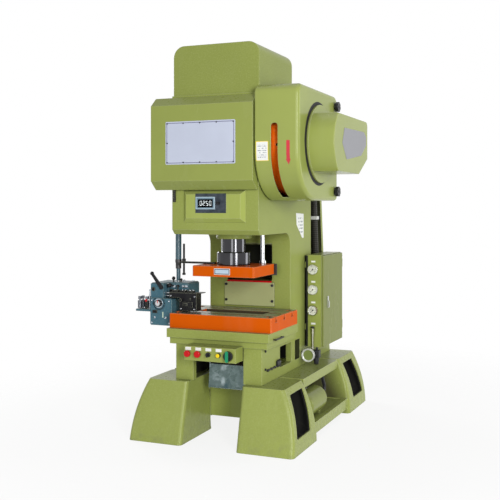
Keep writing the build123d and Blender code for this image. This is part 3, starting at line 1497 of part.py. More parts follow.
with BuildPart() as feeder_carriage:
    box_between(
        (carriage_left_x, feeder_rail_y - 36, feeder_high_z + 6),
        (carriage_right_x, feeder_rail_y + 32, feeder_high_z + 45),
    )
    box_between(
        (carriage_block_x, feeder_rail_y - 36, bolster_top_z + 7),
        (carriage_right_x, feeder_rail_y + 32, feeder_high_z + 7),
    )
    chamfer(feeder_carriage.edges().filter_by(Axis.X), 4)
    box_between(
        (carriage_right_x - 4, feeder_rail_y - 30, rail_heights[1] + feeder_rail_radius + 1),
        (carriage_right_x + 36, feeder_rail_y + 26, feeder_high_z + 47),
    )
    for z in rail_heights:
        rod_along_x(
            carriage_left_x - 1, carriage_right_x + 1, feeder_rail_y, z,
            feeder_rail_radius + running_clearance, mode=Mode.SUBTRACT,
        )
keep(feeder_carriage, "feeder_carriage")

with BuildPart() as feeder_lever:
    rod_along_y(lever_x, feeder_front_y + 15 - part_gap, feeder_front_y + 28, lever_z, knob_stem_radius)
    rod_along_y(lever_x, feeder_front_y + 4, feeder_front_y + 15 - part_gap, lever_z, 13)
    with BuildSketch(Plane.XZ.offset(-feeder_front_y - 6)) as lever_arm:
        Polygon(
            (lever_x + 9, lever_z + 9), (lever_x - 9, lever_z - 9),
            (lever_x - 75, lever_z + 82), (lever_x - 62, lever_z + 94),
            align=None,
        )
    extrude(amount=-8)
    with Locations((lever_x - 69, feeder_front_y + 8, lever_z + 92)):
        Sphere(13)
keep(feeder_lever, "feeder_lever")

with BuildPart() as feeder_dial:
    rod_along_y(dial_x, feeder_front_y - part_gap, feeder_front_y + 12, dial_z, small_stem_radius)
    rod_along_y(dial_x, feeder_front_y - 18, feeder_front_y - part_gap, dial_z, 22)
    with Locations(Location((dial_x, feeder_front_y - 9, dial_z), (90, 0, 0))):
        with PolarLocations(22, 12):
            Cylinder(1.8, 24, mode=Mode.SUBTRACT)
keep(feeder_dial, "feeder_dial")
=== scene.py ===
"""Mechanical stamping press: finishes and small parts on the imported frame, metres, Z up."""

import math

import bmesh
import bpy
from bpy.props import FloatProperty, FloatVectorProperty, PointerProperty
from bpy.types import Operator, Panel, PropertyGroup
from mathutils import Matrix, Vector


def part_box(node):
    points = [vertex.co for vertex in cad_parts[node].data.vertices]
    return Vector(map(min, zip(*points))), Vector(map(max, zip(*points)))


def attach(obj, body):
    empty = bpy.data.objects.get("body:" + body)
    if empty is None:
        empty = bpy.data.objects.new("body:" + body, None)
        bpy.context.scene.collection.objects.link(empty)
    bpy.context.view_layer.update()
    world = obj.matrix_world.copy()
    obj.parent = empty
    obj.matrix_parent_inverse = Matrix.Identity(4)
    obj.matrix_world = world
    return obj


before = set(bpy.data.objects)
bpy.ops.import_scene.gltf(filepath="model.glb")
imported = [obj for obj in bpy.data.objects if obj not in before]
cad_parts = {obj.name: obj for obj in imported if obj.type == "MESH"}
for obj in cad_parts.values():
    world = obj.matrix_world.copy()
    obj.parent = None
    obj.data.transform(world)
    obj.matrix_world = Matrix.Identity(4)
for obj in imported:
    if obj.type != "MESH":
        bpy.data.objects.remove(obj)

# Gauges on the cabinet, in metres
GAUGE_SIDE = 0.366
GAUGE_HEIGHTS = (1.049, 0.907, 0.762)
GAUGE_FACE = 0.032
GAUGE_TICKS = 40
NEEDLES = ("gauge_needle_1", "gauge_needle_2", "gauge_needle_3")

# Ribs of the conduit, in radians of their wave for each metre
RIB_TURNS = 420.0

# Front, lower radius and underside of the flywheel guard, in metres
GUARD_FRONT = -0.765
GUARD_RADIUS = 0.300
GUARD_UNDERSIDE = 1.530

# Front faces of the feeder, the middle (x, z) of its dial and its carriage's clamp plates, in metres
FEEDER_FRONT = -0.560
TOWER_FRONT = -0.545
HOUSE_FRONT = -0.478
DIAL = (-0.475, 0.852)
CLAMP_FOOT = 0.9285
CLAMP_TOP = 0.940

# Scale of tool marks on each axis: rings on upright and on level shafts, or fine grain all round
UPRIGHT_RINGS = (60.0, 60.0, 2200.0)
LEVEL_RINGS = (2200.0, 60.0, 60.0)
EVEN_GRAIN = (900.0, 900.0, 900.0)

# Near blacks: painted shade for the unlit inside of a hollow, and the feeder's black paint
UNLIT = (0.012, 0.012, 0.010)
FEEDER_BLACK = (0.010, 0.010, 0.012)

bl_info = {
    "name": "Stamping Press Finishes",
    "version": (1, 0, 0),
    "blender": (4, 5, 0),
    "location": "View3D > Sidebar > Press",
    "description": "Paint, metal, dials, plates and bolts for a C-frame stamping press",
    "category": "Object",
}


# Settings that a user may change

def colour_setting(name, description, default):
    return FloatVectorProperty(
        name=name, description=description, default=default, subtype="COLOR", size=3, min=0.0, max=1.0
    )


def setting(name, description, default, kind):
    return FloatProperty(name=name, description=description, default=default, min=0.0, **kind)


SHARE = {"max": 1.0, "subtype": "FACTOR"}
LENGTH = {"unit": "LENGTH"}
POWER = {"unit": "POWER"}


class PressColours(PropertyGroup):
    """Colours of the paints, plastics and plates."""

    machine_green: colour_setting("Machine Green", "Frame, stand and covers", (0.285, 0.330, 0.082))
    press_orange: colour_setting("Press Orange", "Slide, bolster and flywheel", (0.64, 0.098, 0.002))
    feeder_blue: colour_setting("Feeder Blue", "Body of the gripper feeder", (0.060, 0.145, 0.190))
    plate_silver: colour_setting("Plate Silver", "Face of the bare plates", (0.53, 0.57, 0.69))
    motor_green: colour_setting("Motor Green", "Enamel of the motor", (0.27, 0.32, 0.075))
    signal_red: colour_setting("Signal Red", "Stop buttons and edge strip", (0.52, 0.005, 0.008))
    signal_yellow: colour_setting("Signal Yellow", "Inching button and label border", (0.85, 0.62, 0.01))
    label_white: colour_setting("Label White", "Bare labels and small plates", (0.80, 0.81, 0.78))
    moulded_black: colour_setting("Moulded Black", "Knobs and switches", (0.014, 0.014, 0.016))


class PressWear(PropertyGroup):
    """Age and texture of the surfaces, and the painted highlights and shade on them."""

    mottling: setting("Mottling", "How much the enamel varies in tone", 0.22, SHARE)
    # Painted highlight: how much the edges are lightened
    edge_highlight: setting("Rubbed Edges", "How much edges are lightened by handling", 0.65, SHARE)
    settled_dust: setting("Settled Dust", "Dust on faces that look up", 0.10, SHARE)
    # Painted shade: how much faces that look up are darkened
    top_shade: setting("Oil Film", "How much oil darkens faces that look up", 0.45, SHARE)
    # Painted shade: how dark seams and inner corners are painted
    corner_shade: setting("Grime", "How dark seams and inner corners are", 0.75, SHARE)
    peel_height: setting("Orange Peel", "Height of the sprayed enamel's ripple", 0.00005, LENGTH)
    cast_height: setting("Casting Skin", "Height of the ripple under paint on castings", 0.0007, LENGTH)


class PressStage(PropertyGroup):
    """Floor and studio light."""

    floor_tone: setting("Floor Tone", "Lightness of the floor", 0.86, SHARE)
    floor_glow: setting("Floor Glow", "How far the floor is lifted to white where it is seen", 0.85, SHARE)
    ambient: setting("Ambient", "Even light from all round", 0.30, {"max": 2.0})
    key_power: setting("Key Light", "Power of the large light at the front right", 330, POWER)
    fill_power: setting("Fill Light", "Power of the light at the front left", 95, POWER)
    side_power: setting("Side Light", "Power of the light on the right", 110, POWER)
    back_power: setting("Back Light", "Power of the light behind on the left", 170, POWER)
    top_power: setting("Top Light", "Power of the light overhead", 22, POWER)


# Shader building

class Shade:
    """An output socket; Python's operators on it add Math nodes to its finish."""

    def __init__(self, finish, socket):
        self.finish = finish
        self.socket = socket

    def maths(self, operation, *others):
        return self.finish.add("ShaderNodeMath", {"operation": operation}, dict(enumerate((self, *others))))

    def __add__(self, other):
        return self.maths("ADD", other)

    def __sub__(self, other):
        return self.maths("SUBTRACT", other)

    def __rsub__(self, other):
        return self.finish.add("ShaderNodeMath", {"operation": "SUBTRACT"}, {0: other, 1: self})

    def __mul__(self, other):
        return self.maths("MULTIPLY", other)

    def __gt__(self, other):
        return self.maths("GREATER_THAN", other)

    def __lt__(self, other):
        return self.maths("LESS_THAN", other)

    def size(self):
        return self.maths("ABSOLUTE")

    def fraction(self):
        return self.maths("FRACT")

    def hypotenuse(self, other):
        return (self * self + other * other).maths("POWER", 0.5)

    def between(self, low, high):
        return (self > low) * (self < high)

    def spread(self, low, high, to_low=0.0, to_high=1.0):
        return self.finish.add("ShaderNodeMapRange", {}, {0: self, 1: low, 2: high, 3: to_low, 4: to_high})


class Finish:
    """A material in the making: a base coat, further coats under masks, and relief."""

    def __init__(self, name, colour, roughness, metallic=0.0, specular=0.5):
        self.material = bpy.data.materials.new(name)
        self.material.use_nodes = True
        self.tree = self.material.node_tree
        self.surface = next(node for node in self.tree.nodes if node.type == "BSDF_PRINCIPLED")
        self.surface.inputs["Specular IOR Level"].default_value = specular
        self.place = self.add("ShaderNodeTexCoord", output="Object")
        self.colour = (*colour, 1.0)
        self.roughness = roughness
        self.metallic = metallic
        self.normal = None

    def add(self, kind, settings=None, inputs=None, output=0):
        node = self.tree.nodes.new(kind)
        for name, value in (settings or {}).items():
            setattr(node, name, value)
        for name, value in (inputs or {}).items():
            self.feed(node.inputs[name], value)
        return Shade(self, node.outputs[output])

    def feed(self, socket, value):
        if isinstance(value, Shade):
            self.tree.links.new(value.socket, socket)
        else:
            socket.default_value = value

    def split(self, vector):
        parts = self.tree.nodes.new("ShaderNodeSeparateXYZ")
        self.feed(parts.inputs[0], vector)
        return [Shade(self, socket) for socket in parts.outputs]

    def axes(self):
        return self.split(self.place)

    def facing(self):
        return self.split(self.add("ShaderNodeTexCoord", output="Normal"))

    def noise(self, scale, detail, stretch=None):
        place = self.place
        if stretch:
            place = self.add("ShaderNodeMapping", {}, {"Vector": place, "Scale": stretch})
        return self.add("ShaderNodeTexNoise", {}, {"Vector": place, "Scale": scale, "Detail": detail})

    def mix(self, mask, below, above):
        return self.add("ShaderNodeMix", {"data_type": "RGBA"}, {0: mask, 6: below, 7: above}, 2)

    def distance(self, centre, across):
        """Distance from a line through centre, measured in the two named axes."""
        axes = dict(zip("xyz", self.axes()))
        first, second = (axes[name] - value for name, value in zip(across, centre))
        return first.hypotenuse(second)

    def coat(self, mask, colour=None, roughness=None, metallic=None):
        if colour is not None:
            above = colour if isinstance(colour, Shade) else (*colour, 1.0)
            self.colour = self.mix(mask, self.colour, above)
        if roughness is not None:
            self.roughness = mask * roughness + (1 - mask) * self.roughness
        if metallic is not None:
            self.metallic = mask * metallic + (1 - mask) * self.metallic

    def relief(self, height, depth, strength):
        inputs = {"Height": height, "Distance": depth, "Strength": strength}
        if self.normal is not None:
            inputs["Normal"] = self.normal
        self.normal = self.add("ShaderNodeBump", {}, inputs)

    def soften_edges(self, radius):
        """Rounds the light on sharp edges and returns a mask of those edges."""
        rounded = self.add("ShaderNodeBevel", {"samples": 4}, {"Radius": radius})
        plain = self.add("ShaderNodeNewGeometry", output="Normal")
        pair = {0: rounded, 1: plain}
        same = self.add("ShaderNodeVectorMath", {"operation": "DOT_PRODUCT"}, pair, "Value")
        self.normal = rounded
        return (1 - same).spread(0.01, 0.12)

    def corners(self, reach):
        """Mask of seams and inner corners, where shade is painted."""
        inputs = {"Distance": reach}
        open_sky = self.add("ShaderNodeAmbientOcclusion", {"samples": 6}, inputs, "AO")
        return (1 - open_sky).spread(0.35, 0.85)

    def done(self):
        self.feed(self.surface.inputs["Base Color"], self.colour)
        self.feed(self.surface.inputs["Roughness"], self.roughness)
        self.feed(self.surface.inputs["Metallic"], self.metallic)
        if self.normal is not None:
            self.feed(self.surface.inputs["Normal"], self.normal)
        return self.material


def tinted(colour, factor):
    return tuple(min(1.0, part * factor) for part in colour)


def toward(colour, other, share):
    return tuple(a + (b - a) * share for a, b in zip(colour, other))


def enamel(name, colour, roughness, specular=0.09, cast=False):
    """Machine enamel: orange peel, faint mottling and dust on level faces, with painted highlights on its
    edges and painted shade on faces that look up and in corners.
    """
    wear = bpy.context.scene.press_wear
    paint = Finish(name, colour, roughness, specular=specular)
    chalk, dust, edge_light_tint, glint = (0.55, 0.55, 0.45), (0.42, 0.40, 0.33), (0.80, 0.82, 0.60), (0.75, 0.78, 0.5)
    edges = paint.soften_edges(0.005)
    patches = paint.noise(4.0, 3.0).spread(0.35, 0.65)
    paint.coat(patches * wear.mottling, tinted(colour, 0.80))
    streaks = paint.noise(9.0, 4.0, (1.0, 1.0, 0.25)).spread(0.52, 0.75)
    paint.coat(streaks * (0.5 * wear.mottling), toward(colour, chalk, 0.25), roughness + 0.1)
    up = paint.facing()[2].spread(0.3, 0.85)
    # Painted shade: faces that look up darkened
    paint.coat(up * wear.top_shade, tinted(colour, 0.42))
    specks = paint.noise(60.0, 3.0).spread(0.35, 0.7)
    paint.coat(up * specks * wear.settled_dust, dust, 0.75)
    # Painted highlight: the edges lightened toward a pale tint
    paint.coat(edges * wear.edge_highlight, toward(colour, edge_light_tint, 0.42), roughness)
    # Painted shade in seams and inner corners
    paint.coat(paint.corners(0.030) * wear.corner_shade, tinted(colour, 0.12), 0.7)
    if cast:
        grain = paint.noise(120.0, 3.0)
        paint.coat(grain.spread(0.52, 0.70, 0.0, 0.28), toward(colour, glint, 0.2))
        paint.coat(grain.spread(0.48, 0.32, 0.0, 0.3), tinted(colour, 0.78))
        paint.relief(grain, wear.cast_height, 0.6)
        paint.relief(paint.noise(240.0, 2.0), wear.cast_height * 0.3, 0.5)
    paint.relief(paint.noise(1100.0, 1.0), wear.peel_height, 0.6)
    return paint


def ground_metal(name, colour, roughness, stretch=EVEN_GRAIN):
    """Machined metal with fine tool marks along the direction that stretch leaves short."""
    metal = Finish(name, colour, roughness, 1.0)
    metal.soften_edges(0.0012)
    marks = metal.noise(1.0, 3.0, stretch)
    metal.roughness = marks.spread(0.3, 0.7, roughness * 0.75, roughness * 1.3)
    stains = metal.noise(14.0, 3.0).spread(0.45, 0.75)
    metal.coat(stains * 0.35, tinted(colour, 0.62))
    metal.relief(marks, 0.00003, 0.5)
    return metal


def moulded(name, colour, roughness):
    """Moulded plastic: fine grain, and its edges a little lighter."""
    plastic = Finish(name, colour, roughness, specular=0.22)
    edges = plastic.soften_edges(0.0012)
    grain = plastic.noise(1800.0, 1.0)
    plastic.roughness = grain.spread(0.3, 0.7, roughness - 0.05, roughness + 0.08)
    plastic.coat(edges * 0.4, toward(colour, (0.5, 0.5, 0.5), 0.25))
    plastic.relief(grain, 0.00002, 0.5)
    return plastic


def dress(finish, *nodes):
    """Completes a finish and puts it on CAD nodes."""
    material = finish.done()
    for name in nodes:
        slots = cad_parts[name].data.materials
        slots.clear()
        slots.append(material)


# Mesh building

def settle(parts, middle):
    """Orders vertices or faces by their middle, because spinning and extruding leave a chance order."""
    ranked = sorted(parts, key=lambda part: [round(value, 6) for value in middle(part)])
    for index, part in enumerate(ranked):
        part.index = index
    parts.sort()


def new_piece(name, shape, finish, body, smooth=False):
    """Turns a bmesh into a finished piece that rides on a body of the frame."""
    bmesh.ops.recalc_face_normals(shape, faces=shape.faces)
    settle(shape.verts, lambda vertex: vertex.co)
    settle(shape.faces, lambda face: face.calc_center_median())
    mesh = bpy.data.meshes.new(name)
    shape.to_mesh(mesh)
    shape.free()
    for face in mesh.polygons:
        face.use_smooth = smooth
    if smooth:
        mesh.set_sharp_from_angle(angle=math.radians(35))
    mesh.materials.append(finish.done())
    piece = bpy.data.objects.new(name, mesh)
    bpy.context.scene.collection.objects.link(piece)
    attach(piece, body)


def block(shape, low, high, bevel=0.0):
    """Adds a box between two corners, its edges rounded where a bevel is given."""
    low, high = Vector(low), Vector(high)
    place = Matrix.Translation((low + high) / 2) @ Matrix.Diagonal((*(high - low), 1.0))
    made = bmesh.ops.create_cube(shape, size=1.0, matrix=place)
    if bevel:
        edges = list({edge for vertex in made["verts"] for edge in vertex.link_edges})
        bmesh.ops.bevel(
            shape, geom=edges, offset=bevel, segments=2, profile=0.5, affect="EDGES", material=-1
        )


AIMS = {
    "x": Matrix.Rotation(math.radians(90), 4, "Y"),
    "-x": Matrix.Rotation(math.radians(-90), 4, "Y"),
    "-y": Matrix.Rotation(math.radians(90), 4, "X"),
    "y": Matrix.Rotation(math.radians(-90), 4, "X"),
    "z": Matrix.Identity(4),
}


def turned(shape, place, aim, profile, steps):
    """Spins a profile of (radius, height) points about an axis through place that points along aim."""
    bench = bmesh.new()
    points = [bench.verts.new((radius, 0.0, height)) for radius, height in profile]
    rim = [bench.edges.new(pair) for pair in zip(points, points[1:])]
    bmesh.ops.spin(
        bench, geom=points + rim, cent=(0, 0, 0), axis=(0, 0, 1),
        angle=math.tau, steps=steps, use_merge=True,
    )
    bmesh.ops.remove_doubles(bench, verts=bench.verts, dist=1e-6)
    bmesh.ops.recalc_face_normals(bench, faces=bench.faces)
    bmesh.ops.transform(bench, matrix=Matrix.Translation(place) @ AIMS[aim], verts=bench.verts)
    add_shape(shape, bench)


def add_shape(shape, bench):
    """Moves everything on the bench into the shape."""
    mesh = bpy.data.meshes.new("bench")
    bench.to_mesh(mesh)
    bench.free()
    shape.from_mesh(mesh)
    bpy.data.meshes.remove(mesh)


def add_plate(shape, corners, shift):
    """Adds a plate: the face between the corners, thickened along shift."""
    bench = bmesh.new()
    face = bench.faces.new([bench.verts.new(corner) for corner in corners])
    made = bmesh.ops.extrude_face_region(bench, geom=[face])
    moved = [item for item in made["geom"] if isinstance(item, bmesh.types.BMVert)]
    bmesh.ops.translate(bench, verts=moved, vec=shift)
    bmesh.ops.recalc_face_normals(bench, faces=bench.faces)
    add_shape(shape, bench)


def cap_screw(shape, place, aim, radius):
    """Adds a socket cap screw's head, standing on place and pointing along aim."""
    turned(
        shape, place, aim,
        [
            (0.0, radius * 0.45), (radius * 0.5, radius * 0.45), (radius * 0.56, radius * 0.95),
            (radius * 0.88, radius), (radius, radius * 0.86), (radius, 0.0),
        ],
        16,
    )


# Nodes of the frame

def inside(finish, x=None, y=None, z=None):
    """Mask of the points that lie between the given limits on each axis."""
    mask = 1.0
    for axis, limits in zip(finish.axes(), (x, y, z)):
        if limits is not None:
            mask = axis.between(*limits) * mask
    return mask


def darken(finish, mask):
    """Paints shade: leaves the inside of a hollow nearly black, as if unlit."""
    finish.coat(mask, UNLIT, 0.65)


class PRESS_OT_green_castings(Operator):
    """Paint the castings and the stand machine green, and paint shade into their hollows"""

    bl_idname = "press.green_castings"
    bl_label = "Green Castings"

    def execute(self, context):
        green = context.scene.press_colours.machine_green
        self.paint_frame(green)
        self.paint_stand(green)
        return {"FINISHED"}

    def paint_frame(self, green):
        """Green frame with painted shade: nearly black in its rear channels, throat window, bed and bed
        window, dark in deep recesses and on the face behind the cabinet.
        """
        casting = enamel("green_casting", green, 0.30, cast=True)
        across, depth, height = casting.axes()
        width = across.size()
        lower_back = 0.7808 - height * 0.2116
        upper_back = 0.6723 - height * 0.1103
        # Painted shade: the inner walls of the rear channels nearly black
        channel = width.between(0.2245, 0.2995) * (depth > 0.263) * height.between(0.761, 2.109)
        rear_wall = 0.030
        darken(casting, channel * (lower_back.maths("MAXIMUM", upper_back) - depth > rear_wall))
        # Painted shade in the throat window and the bed's hollow
        throat_window = (width < 0.1685) * (depth > -0.1495) * height.between(0.985, 1.29)
        darken(casting, throat_window)
        bed_hollow = (width < 0.2602) * depth.between(-0.6005, 0.2625) * (height < 0.6405)
        darken(casting, bed_hollow)
        # Painted shade on the bed window's walls
        bed_window = inside(casting, (0.2600, 0.2992), (-0.064, 0.034), (0.439, 0.578))
        darken(casting, bed_window * 0.9)
        # Painted shade in deep recesses
        casting.coat(casting.corners(0.20) * 0.45, tinted(green, 0.3))
        # Painted shadow on the column face behind the cabinet
        behind_cabinet = inside(casting, (0.2995, 0.31), (0.135, 0.57), (0.505, 1.148))
        darken(casting, behind_cabinet * 0.8)
        dress(casting, "frame_casting", "ram_guide", "takeoff_box")

    def paint_stand(self, green):
        """Green stand with painted shade, nearly black inside the feet and dim beside the tank, and scuffed
        at the floor.
        """
        stand = enamel("green_stand", green, 0.27, 0.2, cast=True)
        across, depth, height = stand.axes()
        width = across.size()
        # Painted shade: the inside of the feet nearly black
        arch_middle, arch_radius, foot_ceiling = -0.2505, 0.8075, 0.374
        under_arch = (width - arch_middle).hypotenuse(height) < arch_radius
        hollow = (width > 0.195) * under_arch * (height < foot_ceiling)
        hollow = hollow * (depth.size() - height * 0.0733 > 0.355)
        hollow = hollow * (height * 0.2435 - depth < 0.783) * (depth + height * 0.1047 < 0.783)
        darken(stand, hollow)
        # Painted shade on the faces beside the tank, fading away from it
        shade_beside_tank = inside(stand, (0.20, 0.56), (0.24, 0.40), (0.105, 0.33)) * (stand.facing()[1] < -0.5)
        reach_in = (height * 0.6 + across).spread(0.64, 0.50)
        stand.coat(shade_beside_tank * reach_in * 0.85, (0.045, 0.038, 0.020), 0.5)
        scuffs = stand.noise(22.0, 5.0).spread(0.5, 0.8)
        stand.coat(height.spread(0.0, 0.14, 0.45, 0.0) * scuffs, (0.17, 0.17, 0.11), 0.6)
        dress(stand, "stand")


class PRESS_OT_green_covers(Operator):
    """Paint the covers, guards, cabinet, control box, tank and motor in their greens"""

    bl_idname = "press.green_covers"
    bl_label = "Green Covers"

    def execute(self, context):
        colours = context.scene.press_colours
        green = colours.machine_green
        plain_covers = (
            ("green_cover", 1.0, 0.27, 0.16, False, ("front_cover", "control_box")),
            # The door's darker tint of 0.68 is painted shade
            ("green_door", 0.68, 0.27, 0.09, False, ("cabinet_door",)),
            ("green_top_cover", 0.93, 0.28, 0.09, True, ("top_cover",)),
            ("green_tank", 0.80, 0.18, 0.12, False, ("air_tank",)),
        )
        for name, tint, roughness, specular, cast, nodes in plain_covers:
            dress(enamel(name, tinted(green, tint), roughness, specular, cast), *nodes)
        cabinet = enamel("green_cabinet", green, 0.26)
        back = cabinet.axes()[1] > 0.6
        cabinet.coat(back * 0.3, tinted(green, 0.8))
        dress(cabinet, "air_cabinet")
        guard = enamel("green_guard", tinted(green, 1.08), 0.24, 0.24)
        # Painted shade: the side walls of the flywheel slot nearly black
        slot = inside(guard, (0.395, 0.470), (-0.764, -0.30), (1.58, 2.12))
        darken(guard, slot * (guard.facing()[0].size() > 0.9))
        dress(guard, "flywheel_guard")
        belt = enamel("green_belt_guard", tinted(green, 1.08), 0.24, 0.24)
        plate = belt.axes()[0] > 0.7661
        brushed = belt.noise(1.0, 3.0, (20.0, 40.0, 900.0)).spread(0.3, 0.7, 0.34, 0.5)
        belt.coat(plate, (0.270, 0.273, 0.295), brushed)
        dress(belt, "belt_guard")
        cover = enamel("throat_cover_paint", (0.385, 0.410, 0.190), 0.30)
        strip = cover.axes()[2] > 0.9731
        cover.coat(strip, colours.signal_red, 0.35)
        dress(cover, "throat_cover")
        dress(enamel("motor_paint", colours.motor_green, 0.36, cast=True), "motor")
        return {"FINISHED"}


class PRESS_OT_orange_castings(Operator):
    """Paint slide, bolster and flywheel orange, with the bolster's top left as ground steel"""

    bl_idname = "press.orange_castings"
    bl_label = "Orange Castings"

    def execute(self, context):
        orange = context.scene.press_colours.press_orange
        dress(enamel("orange_slide", orange, 0.30, 0.03), "slide_plate", "connecting_rod")
        # Painted light: the flywheel's orange lifted 1.3 times to offset the shade of the guard's slot
        dress(enamel("orange_flywheel", tinted(orange, 1.3), 0.34, 0.03, cast=True), "flywheel")
        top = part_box("bolster")[1].z
        bolster = enamel("orange_bolster", orange, 0.30, 0.03)
        facing = bolster.facing()
        milled = (bolster.axes()[2] > top - 0.0006) * (facing[2] > 0.9)
        marks = bolster.noise(1.0, 3.0, (30.0, 900.0, 30.0))
        patches = bolster.noise(9.0, 4.0).spread(0.35, 0.65)
        bolster.coat(milled, bolster.mix(patches, (0.21, 0.235, 0.17, 1.0), (0.34, 0.37, 0.30, 1.0)))
        bolster.coat(milled, None, marks.spread(0.3, 0.7, 0.20, 0.40), 0.8)
        # Painted shade: the walls of the slots nearly black
        slots = inside(bolster, (-0.33, 0.33), (-0.60, -0.20), (0.765, 0.8005))
        bolster.coat(slots * (facing[2] < 0.9) * (facing[1].size() > 0.9), (0.06, 0.05, 0.03), 0.5)
        dress(bolster, "bolster")
        return {"FINISHED"}


class PRESS_OT_blue_feeder(Operator):
    """Finish the feeder: blue body with bright rails, black moving parts, steel rolls and the dial"""

    bl_idname = "press.blue_feeder"
    bl_label = "Feeder"

    def execute(self, context):
        colours = context.scene.press_colours
        blue = enamel("blue_feeder", colours.feeder_blue, 0.28, cast=True)
        beyond_tower = blue.axes()[0] > -0.4495
        rail_radius = 0.0068
        lower_rail = blue.distance((-0.516, 0.900), "yz") < rail_radius
        upper_rail = blue.distance((-0.516, 0.919), "yz") < rail_radius
        rails = (lower_rail + upper_rail) * beyond_tower > 0.5
        blue.coat(rails, (0.55, 0.55, 0.56), 0.2, 1.0)
        scale_ink = (0.012, 0.014, 0.016)
        from_dial = blue.distance(DIAL, "xz")
        front = blue.axes()[1] < FEEDER_FRONT + 0.0008
        blue.coat(from_dial.between(0.0375, 0.0415) * front, scale_ink, 0.4)
        tick = blue.noise(1.0, 1.0, (260.0, 1.0, 260.0)) > 0.5
        blue.coat(from_dial.between(0.0425, 0.0475) * front * tick, scale_ink, 0.4)
        dress(blue, "feeder_body")
        dress(enamel("black_feeder", FEEDER_BLACK, 0.28, 0.12), "feeder_carriage", "slide_arm")
        dress(ground_metal("roll_steel", (0.13, 0.14, 0.16), 0.32, (60.0, 60.0, 1500.0)), "feeder_rollers")
        dress(moulded("lever_black", (0.008, 0.008, 0.009), 0.5), "feeder_lever")
        dial = moulded("dial_black", colours.moulded_black, 0.32)
        face = dial.axes()[1] < -0.5775
        dial.coat(face * (dial.distance(DIAL, "xz") < 0.0165), (0.60, 0.61, 0.62), 0.25, 1.0)
        pointer = face * inside(dial, (-0.4775, -0.4725), None, (0.853, 0.8725))
        dial.coat(pointer, colours.signal_red, 0.35, 0.0)
        dress(dial, "feeder_dial")
        return {"FINISHED"}


class PRESS_OT_bare_metal(Operator):
    """Finish shafts, posts, bushes, screws and the chute as bare metal"""

    bl_idname = "press.bare_metal"
    bl_label = "Bare Metal"

    def execute(self, context):
        dress(ground_metal("ram_steel", (0.058, 0.058, 0.062), 0.10, UPRIGHT_RINGS), "ram")
        dress(ground_metal("post_steel", (0.42, 0.43, 0.45), 0.14, UPRIGHT_RINGS), "guide_posts")
        shaft = ground_metal("shaft_steel", (0.50, 0.50, 0.50), 0.26, UPRIGHT_RINGS)
        height = shaft.axes()[2]
        sleeve = tinted(context.scene.press_colours.feeder_blue, 0.62)
        shaft.coat(height.between(0.99, 1.315), sleeve, 0.3, 0.0)
        shaft.coat(height.between(1.073, 1.135), (0.014, 0.014, 0.016), 0.35, 0.0)
        dress(shaft, "feed_shaft")
        turned_steel = ground_metal("turned_steel", (0.52, 0.52, 0.52), 0.26, LEVEL_RINGS)
        dress(turned_steel, "crankshaft", "flywheel_pulley", "clutch_disc", "motor_rotor")
        dress(ground_metal("bush_bronze", (0.50, 0.32, 0.14), 0.34, LEVEL_RINGS), "bushes")
        dress(ground_metal("blackened_steel", (0.05, 0.05, 0.055), 0.34), "screws")
        self.finish_chute()
        return {"FINISHED"}

    def finish_chute(self):
        """Zinc sheet with spangle, bright and dark patches, dents and lighter edges."""
        zinc = Finish("zinc_sheet", (0.085, 0.125, 0.118), 0.26, 0.75)
        edges = zinc.soften_edges(0.003)
        spangle = zinc.add("ShaderNodeTexVoronoi", {}, {"Vector": zinc.place, "Scale": 55.0}, "Color")
        flakes = zinc.add("ShaderNodeSeparateColor", {}, {0: spangle})
        zinc.coat(flakes.spread(0.0, 1.0, 0.0, 0.5), (0.19, 0.25, 0.25), 0.38)
        zinc.coat(zinc.noise(12.0, 4.0).spread(0.56, 0.68), (0.34, 0.41, 0.42), 0.3)
        zinc.coat(zinc.noise(16.0, 3.0, (1.0, 1.0, 0.4)).spread(0.60, 0.72), (0.05, 0.09, 0.10), 0.3)
        zinc.coat(edges, (0.70, 0.75, 0.78), 0.25)
        zinc.relief(zinc.noise(9.0, 2.0), 0.006, 0.6)
        dress(zinc, "scrap_chute")


